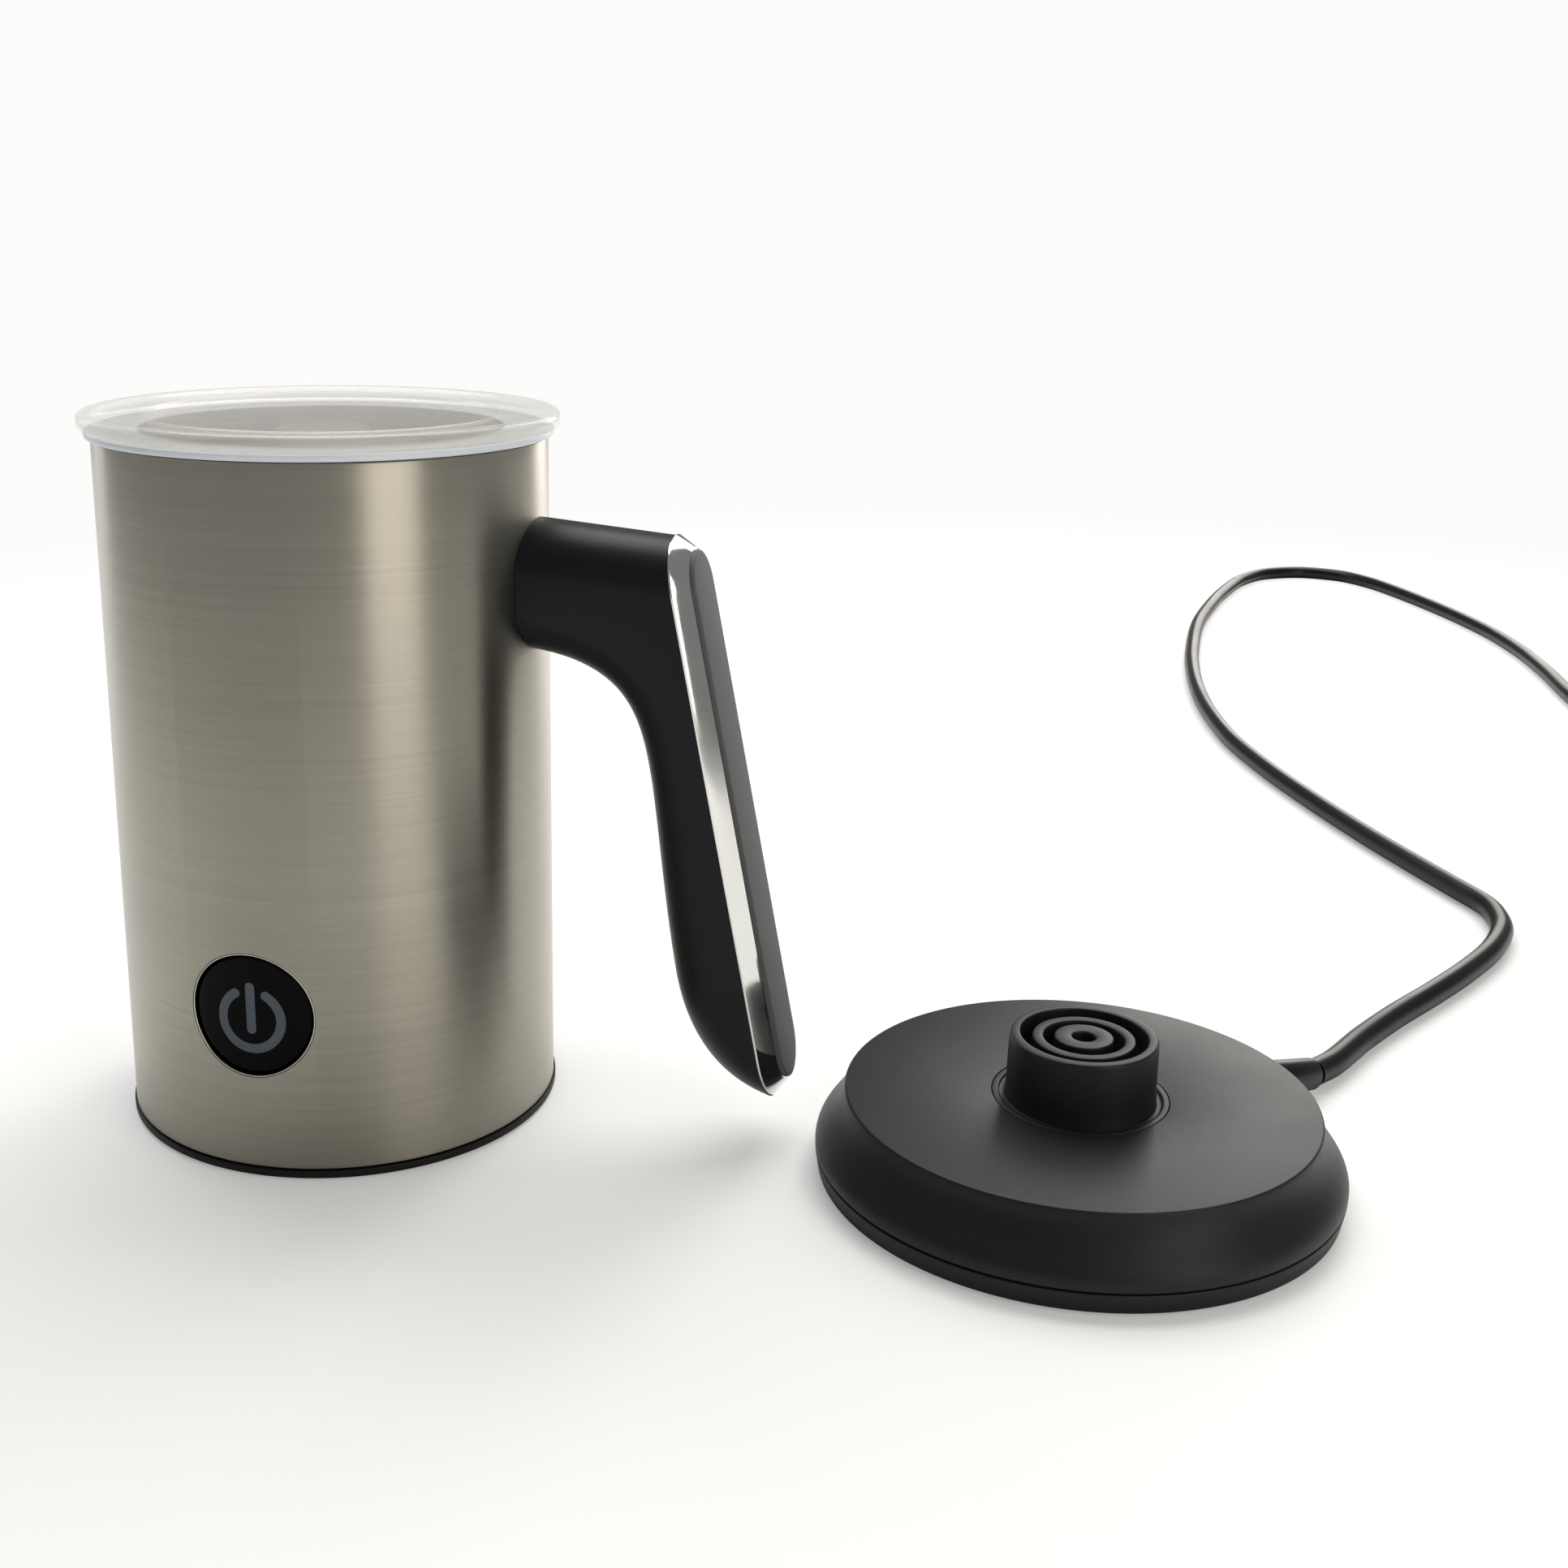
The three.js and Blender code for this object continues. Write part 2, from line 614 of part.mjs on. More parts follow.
// Power base: strain relief, cord and plug
const tubeAlong = (curve, radius, sides, steps) => {
  const section = new THREE.Shape();
  section.absarc(0, 0, radius, 0, 2 * Math.PI, false);
  const options = { steps, extrudePath: curve, curveSegments: sides / 2, bevelEnabled: false };
  return new THREE.ExtrudeGeometry(section, options);
};

piece(baseGroup, "strain_relief", alongRelief(reliefOutline(0)), blackRubber);

// The cord leaves the relief and lies on the floor from the strain relief's end to the plug's nose.
const reliefTip = new THREE.Vector3(cord.reliefEnd + 2 * gap, 0, cord.exitHeight - cord.reliefDrop);
reliefTip.applyAxisAngle(new THREE.Vector3(0, 0, 1), THREE.MathUtils.degToRad(cord.exitAngle));
reliefTip.add(new THREE.Vector3(base.x, base.y, 0));

const plugTail = { x: 272, y: 366 };
const cordRoute = [
  [reliefTip.x, reliefTip.y, reliefTip.z],
  [130.5, 60.4, 3.4],
  [138, 76],
  [147, 92],
  [157, 108],
  [167, 125],
  [176, 143],
  [181, 160],
  [180, 176],
  [173, 191],
  [165, 207],
  [153, 232],
  [140, 262],
  [127, 295],
  [115, 333],
  [107, 376],
  [103, 418],
  [102, 465],
  [105, 530],
  [113, 585],
  [120, 618],
  [127, 643],
  [139, 665],
  [158, 676],
  [178, 672],
  [192, 656],
  [203, 634],
  [214, 608],
  [225, 578],
  [234, 548],
  [241, 512],
  [245, 474],
  [247, 440],
  [250, 415],
  [257, 393, 4],
  [plugTail.x - 3.5, plugTail.y + 6.6, plug.axis - 0.6],
  [plugTail.x, plugTail.y, plug.axis],
].map(([x, y, z = cord.lies]) => new THREE.Vector3(x, y, z));

function plugBody() {
  const half = plug.width / 2;
  const outline = new THREE.Shape();
  outline.moveTo(plug.nose, -9);
  outline.bezierCurveTo(plug.nose + 12, -9, plug.nose + 16, -half, plug.nose + plug.length - 8, -half);
  outline.lineTo(plug.nose + plug.length, -half);
  outline.lineTo(plug.nose + plug.length, half);
  outline.lineTo(plug.nose + plug.length - 8, half);
  outline.bezierCurveTo(plug.nose + 16, half, plug.nose + 12, 9, plug.nose, 9);
  outline.closePath();
  const edge = 3;
  const slab = new THREE.ExtrudeGeometry(outline, {
    depth: plug.thickness - 2 * edge,
    bevelThickness: edge,
    bevelSize: edge,
    bevelOffset: -edge,
    bevelSegments: 3,
    curveSegments: 6,
  }).translate(0, 0, edge - plug.thickness / 2);
  const nose = turned([[0, gap], [3.5, gap], [5.2, plug.nose + 6], [0, plug.nose + 6]], 14);
  const bores = [-1, 1].map((side) =>
    rod(pin.radius + gap, plug.nose + plug.length - 6, 80, 0, 0, 12)
      .rotateY(Math.PI / 2)
      .translate(0, (side * pin.pitch) / 2, 0),
  );
  return cut(join(slab, nose.rotateY(Math.PI / 2)), ...bores);
}

const plugGroup = new THREE.Group();
plugGroup.position.set(plugTail.x, plugTail.y, plug.axis);
plugGroup.rotation.z = THREE.MathUtils.degToRad(plug.heading);
frother.add(plugGroup);

const cordCurve = new THREE.CatmullRomCurve3(cordRoute, false, "centripetal");
piece(frother, "power_cord", tubeAlong(cordCurve, cord.diameter / 2, 8, 62), blackRubber);
piece(plugGroup, "plug_body", plugBody(), blackPlastic);
[-1, 1].forEach((side, i) => {
  const end = plug.nose + plug.length;
  const shaft = rod(pin.radius, end - 5.5, end + pin.length - 1, 0, 0, 12);
  const tip = new THREE.CylinderGeometry(1.2, pin.radius, 1, 12).rotateX(Math.PI / 2);
  const whole = join(shaft, tip.translate(0, 0, end + pin.length - 0.5));
  whole.rotateY(Math.PI / 2).translate(0, (side * pin.pitch) / 2, 0);
  piece(plugGroup, `plug_pin_${i + 1}`, whole, polishedSteel);
});

export default frother;
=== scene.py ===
# A milk frother: a brushed jug with a clear lid and a sloping handle, its power base and its cord.
import json
import math

import bmesh
import bpy
from mathutils import Matrix, Vector
from mathutils.geometry import interpolate_bezier


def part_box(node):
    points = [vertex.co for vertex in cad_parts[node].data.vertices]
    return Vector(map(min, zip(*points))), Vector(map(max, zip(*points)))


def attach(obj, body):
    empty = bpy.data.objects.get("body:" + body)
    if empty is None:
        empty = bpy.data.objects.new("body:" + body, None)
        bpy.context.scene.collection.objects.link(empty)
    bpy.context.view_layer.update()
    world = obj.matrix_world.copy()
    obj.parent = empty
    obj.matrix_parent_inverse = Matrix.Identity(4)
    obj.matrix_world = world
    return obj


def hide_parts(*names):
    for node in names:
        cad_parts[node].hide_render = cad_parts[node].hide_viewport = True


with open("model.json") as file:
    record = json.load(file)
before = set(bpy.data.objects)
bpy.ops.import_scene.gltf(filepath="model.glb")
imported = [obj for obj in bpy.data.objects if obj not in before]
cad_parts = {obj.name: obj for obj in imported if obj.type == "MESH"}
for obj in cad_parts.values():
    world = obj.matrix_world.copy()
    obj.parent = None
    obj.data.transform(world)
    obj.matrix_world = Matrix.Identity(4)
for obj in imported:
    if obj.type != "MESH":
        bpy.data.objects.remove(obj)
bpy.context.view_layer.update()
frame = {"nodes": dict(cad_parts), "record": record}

mm = 0.001
fullTurn = 2 * math.pi
bodyOf = {node: body for body, nodes in frame["record"]["behaviour"]["bodies"].items() for node in nodes}
slotOf = {part["node"]: part["material_slot"] for part in frame["record"]["subparts"]}
scene = bpy.context.scene
scene.view_settings.view_transform = "Standard"


# camera
cameraValues = {
    "place": (0.0826, -0.3591, 0.1903),
    "heading": -13.09,  # degrees from +Y, minus is to the left
    "downwards": 15.73,
    "roll": 0.827,
    "lens": 44.277,
    "shift": (0.0493, -0.0321),
    "nearest": 0.01,
}


def makeCamera(values):
    heading, down, roll = (math.radians(values[key]) for key in ("heading", "downwards", "roll"))
    level = math.cos(down)
    ahead = Vector((math.sin(heading) * level, math.cos(heading) * level, -math.sin(down)))
    right = Vector((math.cos(heading), -math.sin(heading), 0))
    up = right.cross(ahead)
    leaning = right * math.cos(roll) + up * math.sin(roll)
    upright = up * math.cos(roll) - right * math.sin(roll)
    camera = bpy.data.objects.new("camera", bpy.data.cameras.new("camera"))
    turned = Matrix((leaning, upright, -ahead)).transposed().to_4x4()
    camera.matrix_world = Matrix.Translation(values["place"]) @ turned
    camera.data.lens = values["lens"]
    camera.data.shift_x, camera.data.shift_y = values["shift"]
    camera.data.clip_start = values["nearest"]
    scene.collection.objects.link(camera)
    scene.camera = camera


makeCamera(cameraValues)
print("camera stands")


# shader groups
noiseValues = {"mouldedCloud": 34, "steelCloud": 26, "broadLines": 0.22, "wave": 90, "patchy": (0.45, 0.75)}


def newGroup(name, inputs, outputs):
    group = bpy.data.node_groups.new(name, "ShaderNodeTree")
    for label, kind, value in inputs:
        socket = group.interface.new_socket(name=label, in_out="INPUT", socket_type="NodeSocket" + kind)
        socket.default_value = value
    for label, kind in outputs:
        group.interface.new_socket(name=label, in_out="OUTPUT", socket_type="NodeSocket" + kind)
    return group, group.nodes.new("NodeGroupInput").outputs, group.nodes.new("NodeGroupOutput").inputs


def addNode(tree, kind, feeds=None, **settings):
    node = tree.nodes.new("ShaderNode" + kind)
    for key, value in settings.items():
        setattr(node, key, value)
    for socket, source in (feeds or {}).items():
        if isinstance(source, bpy.types.NodeSocket):
            tree.links.new(source, node.inputs[socket])
        else:
            node.inputs[socket].default_value = source
    return node.outputs


def spreadAround(tree, middle, spread, noise):  # middle plus or minus spread, by a noise round 0.5
    centred = addNode(tree, "Math", {0: noise, 1: 0.5}, operation="SUBTRACT")[0]
    return addNode(tree, "Math", {0: centred, 1: spread, 2: middle}, operation="MULTIPLY_ADD")[0]


def shadedBy(tree, colour, shade, noise):  # the colour, darker by up to shade where the noise is low
    factor = addNode(tree, "Math", {0: 1.0, 1: noise}, operation="SUBTRACT")[0]
    share = addNode(tree, "Math", {0: factor, 1: shade}, operation="MULTIPLY")[0]
    black = (0, 0, 0, 1)
    return addNode(tree, "Mix", {0: share, 6: colour, 7: black}, data_type="RGBA")[2]


def buildMouldedGrain():
    tree, given, out = newGroup(
        "mouldedGrain",
        [("Colour", "Color", (0.1, 0.1, 0.1, 1)), ("Shade", "Float", 0.2), ("Grain Scale", "Float", 2600),
         ("Grain Depth", "Float", 0.00002), ("Roughness", "Float", 0.5), ("Spread", "Float", 0.15)],
        [("Colour", "Color"), ("Roughness", "Float"), ("Normal", "Vector")],
    )
    place = addNode(tree, "TexCoord")["Object"]
    grain = addNode(tree, "TexNoise", {"Vector": place, "Scale": given["Grain Scale"], "Detail": 3})[0]
    cloud = addNode(tree, "TexNoise", {"Vector": place, "Scale": noiseValues["mouldedCloud"],
                                       "Detail": 5, "Roughness": 0.6})[0]
    bump = addNode(tree, "Bump", {"Height": grain, "Distance": given["Grain Depth"], "Strength": 1.0})
    tree.links.new(shadedBy(tree, given["Colour"], given["Shade"], cloud), out["Colour"])
    tree.links.new(spreadAround(tree, given["Roughness"], given["Spread"], cloud), out["Roughness"])
    tree.links.new(bump[0], out["Normal"])
    return tree


def buildBrushedLines():
    tree, given, out = newGroup(
        "brushedLines",
        [("Colour", "Color", (0.6, 0.6, 0.6, 1)), ("Shade", "Float", 0.2),
         ("Stretch", "Vector", (30, 30, 4000)), ("Line Depth", "Float", 0.00001),
         ("Roughness", "Float", 0.3), ("Spread", "Float", 0.2)],
        [("Colour", "Color"), ("Roughness", "Float"), ("Normal", "Vector")],
    )
    place = addNode(tree, "TexCoord")["Object"]
    along = addNode(tree, "VectorMath", {0: place, 1: given["Stretch"]}, operation="MULTIPLY")[0]
    fine = addNode(tree, "TexNoise", {"Vector": along, "Scale": 1.0, "Detail": 4, "Roughness": 0.65})[0]
    broad = addNode(tree, "TexNoise", {"Vector": along, "Scale": noiseValues["broadLines"], "Detail": 3})[0]
    cloud = addNode(tree, "TexNoise", {"Vector": place, "Scale": noiseValues["steelCloud"], "Detail": 4})[0]
    lines = addNode(tree, "Math", {0: fine, 1: broad}, operation="ADD")[0]
    evened = addNode(tree, "Math", {0: lines, 1: 0.5}, operation="MULTIPLY")[0]
    cloudy = addNode(tree, "Math", {0: evened, 1: cloud}, operation="ADD")[0]
    both = addNode(tree, "Math", {0: cloudy, 1: 0.5}, operation="MULTIPLY")[0]
    bump = addNode(tree, "Bump", {"Height": lines, "Distance": given["Line Depth"], "Strength": 1.0})
    tree.links.new(shadedBy(tree, given["Colour"], given["Shade"], evened), out["Colour"])
    tree.links.new(spreadAround(tree, given["Roughness"], given["Spread"], both), out["Roughness"])
    tree.links.new(bump[0], out["Normal"])
    return tree


def buildHandledHaze():
    tree, given, out = newGroup(
        "handledHaze",
        [("Roughness", "Float", 0.05), ("Haze", "Float", 0.1), ("Haze Scale", "Float", 60),
         ("Ripple", "Float", 0.00002)],
        [("Roughness", "Float"), ("Normal", "Vector")],
    )
    place = addNode(tree, "TexCoord")["Object"]
    cloud = addNode(tree, "TexNoise", {"Vector": place, "Scale": given["Haze Scale"], "Detail": 6,
                                       "Roughness": 0.7})[0]
    wave = addNode(tree, "TexNoise", {"Vector": place, "Scale": noiseValues["wave"], "Detail": 1})[0]
    low, high = noiseValues["patchy"]
    patches = addNode(tree, "MapRange", {"Value": cloud, 1: low, 2: high, 3: 0.0, 4: 1.0})[0]
    haze = addNode(tree, "Math", {0: patches, 1: given["Haze"], 2: given["Roughness"]},
                   operation="MULTIPLY_ADD")[0]
    bump = addNode(tree, "Bump", {"Height": wave, "Distance": given["Ripple"], "Strength": 1.0})
    tree.links.new(haze, out["Roughness"])
    tree.links.new(bump[0], out["Normal"])
    return tree


mouldedGrain = buildMouldedGrain()
brushedLines = buildBrushedLines()
handledHaze = buildHandledHaze()


# materials
def tint(code):  # a screen colour such as "c8c4b8" as the light that Blender mixes
    channels = [int(code[i:i + 2], 16) / 255 for i in (0, 2, 4)]
    return [c / 12.92 if c <= 0.04045 else ((c + 0.055) / 1.055) ** 2.4 for c in channels] + [1]


def newMaterial(name, effect, fed, own):
    material = bpy.data.materials.new(name)
    material.use_nodes = True
    tree = material.node_tree
    shader = tree.nodes["Principled BSDF"]
    group = tree.nodes.new("ShaderNodeGroup")
    group.node_tree = effect
    for label, value in fed.items():
        group.inputs[label].default_value = value
    for label, socket in {"Colour": "Base Color", "Roughness": "Roughness", "Normal": "Normal"}.items():
        if label in group.outputs:
            tree.links.new(group.outputs[label], shader.inputs[socket])
    for label, value in own.items():
        shader.inputs[label].default_value = value
    return material


def moulded(name, colour, roughness, grain=2600, depth=0.00002, shade=0.25, spread=0.16, **own):
    fed = {"Colour": tint(colour), "Shade": shade, "Grain Scale": grain, "Grain Depth": depth,
           "Roughness": roughness, "Spread": spread}
    return newMaterial(name, mouldedGrain, fed, own)


def brushed(name, colour, roughness, stretch, depth=0.00001, shade=0.25, spread=0.2, **own):
    fed = {"Colour": tint(colour), "Shade": shade, "Stretch": stretch, "Line Depth": depth,
           "Roughness": roughness, "Spread": spread}
    return newMaterial(name, brushedLines, fed, {"Metallic": 1.0, **own})


def polished(name, colour, roughness, haze, ripple=0.000004, **own):
    fed = {"Roughness": roughness, "Haze": haze, "Ripple": ripple}
    return newMaterial(name, handledHaze, fed, {"Base Color": tint(colour), **own})


dull = {"Specular IOR Level": 0.22}  # dark mouldings that shine little face on
materialOf = {
    "brushed_steel": brushed("brushedSteel", "aeaa9e", 0.34, (26, 26, 5200), shade=0.35,
                             Anisotropic=0.85, **{"Anisotropic Rotation": 0.25}),
    "polished_steel": brushed("turnedSteel", "c9c7c0", 0.2, (40, 40, 2600), depth=0.000004, spread=0.1),
    "plug_pins": polished("nickelPlate", "d4d0c6", 0.16, 0.2, Metallic=1.0),
    "base_black": moulded("baseBlack", "1a1d1f", 0.42, grain=3200, depth=0.000022, **dull),
    "handle_black": moulded("handleBlack", "0f1217", 0.4, grain=3800, depth=0.000012, **dull),
    "jug_black": moulded("jugBlack", "121314", 0.46, grain=3000, depth=0.000018, **dull),
    "plug_black": moulded("plugBlack", "131415", 0.44, grain=3000, depth=0.000018, **dull),
    "chrome_trim": polished("chromePlate", "dedfdc", 0.05, 0.08, Metallic=1.0),
    "soft_grey": moulded("softGrey", "4c4d4e", 0.62, grain=4200, depth=0.00003, shade=0.18),
    "rubber_black": moulded("rubberBlack", "141516", 0.8, grain=2000, depth=0.00004, **dull),
    "cord_black": moulded("cordBlack", "0f1011", 0.34, grain=1500, depth=0.000014, shade=0.3, **dull),
    "brass": brushed("springBrass", "cfa95c", 0.28, (700, 700, 900), depth=0.000004),
    "copper": brushed("woundCopper", "b8693c", 0.36, (90, 90, 3200), depth=0.00003),
    "inner_plastic": moulded("innerPlastic", "6a6c6e", 0.55),
    "circuit_board": moulded("circuitBoard", "1f5a35", 0.4, grain=900, depth=0.00002, shade=0.5),
    "gloss_black": polished("glossBlack", "030304", 0.12, 0.1, ripple=0.000002,
                            **{"Specular IOR Level": 0.06}),
    "magnet": polished("magnetNickel", "9d9ea2", 0.22, 0.3, Metallic=1.0),
    "clear_plastic": polished("clearPlastic", "f6f3eb", 0.1, 0.06, ripple=0.0000008, IOR=1.5,
                              Alpha=0.38, **{"Transmission Weight": 0.2}),
    "silicone": moulded("silicone", "e6ecf2", 0.32, grain=1800, depth=0.00001, shade=0.1,
                        IOR=1.42, **{"Transmission Weight": 0.12}),
}
symbolPaint = moulded("symbolPaint", "424d59", 0.5, grain=5000, depth=0.000008, shade=0.15)
print("materials mixed:", len(materialOf) + 1)


# making pieces
def camelCase(node):
    first, *rest = node.split("_")
    return first + "".join(word.capitalize() for word in rest)


def nodeSpan(node):  # where a node's middle is in plan, half its width, and its lowest and highest level
    low, high = (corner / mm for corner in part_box(node))
    middle = (low + high) / 2
    return Vector((middle.x, middle.y, 0)), (high.x - low.x) / 2, low.z, high.z


def meshFrom(bm, name):
    mesh = bpy.data.meshes.new(name)
    bm.to_mesh(mesh)
    bm.free()
    return mesh


def dress(piece, node, material=None):  # puts a piece in the scene, in place of a CAD node
    scene.collection.objects.link(piece)
    piece.data.materials.append(material or materialOf[slotOf[node]])
    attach(piece, bodyOf[node])
    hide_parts(node)
    return piece


def standIn(node, bm, place=Matrix(), name=None, material=None, crease=32):
    name = name or camelCase(node)
    bmesh.ops.transform(bm, matrix=Matrix.Scale(mm, 4) @ place, verts=bm.verts)
    for face in bm.faces:
        face.smooth = True
    for edge in bm.edges:
        edge.smooth = not (edge.is_manifold and edge.calc_face_angle() > math.radians(crease))
    return dress(bpy.data.objects.new(name, meshFrom(bm, name)), node, material)


# Turns an outline about Z. Each point is (radius, height), and a third number rounds its corner.
def lathe(outline, steps=96, rounds=4):
    bm = bmesh.new()
    points = [bm.verts.new((point[0], 0, point[1])) for point in outline]
    pairs = list(zip(points, points[1:]))
    if outline[0][0] > 0 or outline[-1][0] > 0:
        pairs.append((points[-1], points[0]))
    for pair in pairs:
        bm.edges.new(pair)
    for vertex, point in zip(points, outline):
        if len(point) > 2:
            bmesh.ops.bevel(bm, geom=[vertex], offset=point[2], offset_type="OFFSET", segments=rounds,
                            profile=0.5, affect="VERTICES", material=-1)
    bmesh.ops.spin(bm, geom=bm.verts[:] + bm.edges[:], cent=(0, 0, 0), axis=(0, 0, 1), angle=fullTurn,
                   steps=steps, use_merge=True)
    bmesh.ops.remove_doubles(bm, verts=bm.verts, dist=1e-4)
    bmesh.ops.recalc_face_normals(bm, faces=bm.faces)
    return bm


def rodOf(radius, low, high, edge=0.15, steps=48):
    return lathe([(0, low), (radius, low, edge), (radius, high, edge), (0, high)], steps)


def ringOf(inner, outer, low, high, edge=0.12, steps=72):
    return lathe([(inner, low, edge), (outer, low, edge), (outer, high, edge), (inner, high, edge)], steps)


def prism(outline, low, high):
    bm = bmesh.new()
    face = bm.faces.new([bm.verts.new((x, y, low)) for x, y in outline])
    raised = bmesh.ops.extrude_face_region(bm, geom=[face])["geom"]
    lifted = [v for v in raised if isinstance(v, bmesh.types.BMVert)]
    bmesh.ops.translate(bm, verts=lifted, vec=(0, 0, high - low))
    bmesh.ops.recalc_face_normals(bm, faces=bm.faces)
    return bm


def blockOf(xs, ys, zs):
    return prism([(xs[0], ys[0]), (xs[1], ys[0]), (xs[1], ys[1]), (xs[0], ys[1])], *zs)


def soften(bm, offset, segments=3, above=40):
    sharp = [e for e in bm.edges if e.is_manifold and e.calc_face_angle() > math.radians(above)]
    bmesh.ops.bevel(bm, geom=sharp, offset=offset, offset_type="OFFSET", segments=segments, profile=0.5,
                    affect="EDGES", material=-1, clamp_overlap=True)
    return bm


def moved(bm, place):
    bmesh.ops.transform(bm, matrix=place, verts=bm.verts)
    return bm


# Cuts the tools from a shape (DIFFERENCE), or joins them to it (UNION).
def combined(bm, tools, how="DIFFERENCE"):
    whole = bpy.data.objects.new("whole", meshFrom(bm, "whole"))
    scene.collection.objects.link(whole)
    others = []
    for tool in tools:
        other = bpy.data.objects.new("tool", meshFrom(tool, "tool"))
        scene.collection.objects.link(other)
        others.append(other)
        cutter = whole.modifiers.new("combine", "BOOLEAN")
        cutter.operation, cutter.solver, cutter.object = how, "EXACT", other
    made = bmesh.new()
    made.from_object(whole, bpy.context.evaluated_depsgraph_get())
    bmesh.ops.dissolve_degenerate(made, edges=made.edges, dist=1e-4)
    for done in [whole, *others]:
        bpy.data.objects.remove(done)
    return made


def around(count, radius, start=0):
    angles = [math.radians(start + 360 * i / count) for i in range(count)]
    return [(radius * math.cos(angle), radius * math.sin(angle)) for angle in angles]


def at(x, y, z=0):
    return Matrix.Translation((x, y, z))


jugAxis, shellRadius, shellLow, shellHigh = nodeSpan("jug_shell")
baseAxis, bandRadius, baseLow, seam = nodeSpan("base_lower_cover")
atJug = Matrix.Translation(jugAxis)
atBase = Matrix.Translation(baseAxis)
facing = Matrix.Rotation(math.pi / 2, 4, "X")  # drawn in XY, it stands up in XZ and faces -Y


# cord, strain relief and plug
cordValues = {"diameter": 0.006, "length": 1.02, "lying": 0.0031, "roundness": 10, "steps": 10,
              "ease": 0.29}
cordRoute = [  # metres
    (0.12577, 0.05273, 0.004), (0.1305, 0.0604, 0.0034), (0.138, 0.076), (0.147, 0.092), (0.157, 0.108),
    (0.167, 0.125), (0.176, 0.143), (0.181, 0.160), (0.180, 0.176), (0.173, 0.191), (0.165, 0.207),
    (0.153, 0.232), (0.140, 0.262), (0.127, 0.295), (0.115, 0.333), (0.107, 0.376), (0.103, 0.418),
    (0.102, 0.465), (0.105, 0.530), (0.113, 0.585), (0.120, 0.618), (0.127, 0.643), (0.139, 0.665),
    (0.158, 0.676), (0.178, 0.672), (0.192, 0.656), (0.203, 0.634), (0.214, 0.608), (0.225, 0.578),
    (0.234, 0.548), (0.241, 0.512), (0.245, 0.474), (0.247, 0.440), (0.250, 0.415), (0.257, 0.393, 0.004),
    (0.2685, 0.3726, 0.0064), (0.272, 0.366, 0.007),
]


def makeCord(values, route):
    curve = bpy.data.curves.new("powerCord", "CURVE")
    curve.dimensions = "3D"
    curve.bevel_depth = values["diameter"] / 2
    curve.bevel_resolution = values["roundness"]
    curve.use_fill_caps = True
    curve.resolution_u = values["steps"]
    spline = curve.splines.new("BEZIER")
    spline.bezier_points.add(len(route) - 1)
    knots = spline.bezier_points
    for knot, point in zip(knots, route):
        knot.co = point if len(point) == 3 else (*point, values["lying"])
    for i, knot in enumerate(knots):  # each knot's handles lie along the line between its neighbours
        before, after = knots[max(i - 1, 0)].co, knots[min(i + 1, len(knots) - 1)].co
        onward = (after - before).normalized() * values["ease"]
        knot.handle_left_type = knot.handle_right_type = "FREE"
        knot.handle_left = knot.co - onward * (knot.co - before).length
        knot.handle_right = knot.co + onward * (after - knot.co).length
    return dress(bpy.data.objects.new("powerCord", curve), "power_cord")


reliefValues = {"angle": 47, "height": 7, "drop": 3, "tip": 71.5, "wall": 52.4, "back": 46, "front": 48.6,
                "flange": 4.9, "neck": 3.7, "neckEnd": 52.6, "shoulder": 4.4, "waist": (4.1, 59),
                "nozzle": 3.55}


def makeStrainRelief(values):
    flange, back, front, tip = (values[key] for key in ("flange", "back", "front", "tip"))
    neck, neckEnd = values["neck"], values["neckEnd"]
    outline = [(0, back), (flange, back, 0.2), (flange, front, 0.2), (neck, front), (neck, neckEnd),
               (values["shoulder"], neckEnd + 0.6, 0.4), (*values["waist"], 2),
               (values["nozzle"], tip, 0.45), (0, tip)]
    drop = math.atan2(values["drop"], tip - values["wall"])
    along = Matrix.Rotation(math.radians(values["angle"]), 4, "Z") @ at(values["wall"], 0, values["height"])
    lying = along @ Matrix.Rotation(math.pi / 2 + drop, 4, "Y") @ at(0, 0, -values["wall"])
    return standIn("strain_relief", lathe(outline, 64, 3), atBase @ lying)


plugValues = {"nose": 20, "length": 36, "width": 35, "thickness": 13.7, "edge": 3, "heading": -62,
              "pinRadius": 2, "pinLength": 18.8, "pitch": 19, "shoulder": 9, "ribs": 5, "ribPitch": 3,
              "grooves": 4, "groovePitch": 3.4, "groove": 0.7}
plugPlace = (Matrix.Translation(Vector(cordRoute[-1]) / mm)
             @ Matrix.Rotation(math.radians(plugValues["heading"]), 4, "Z"))


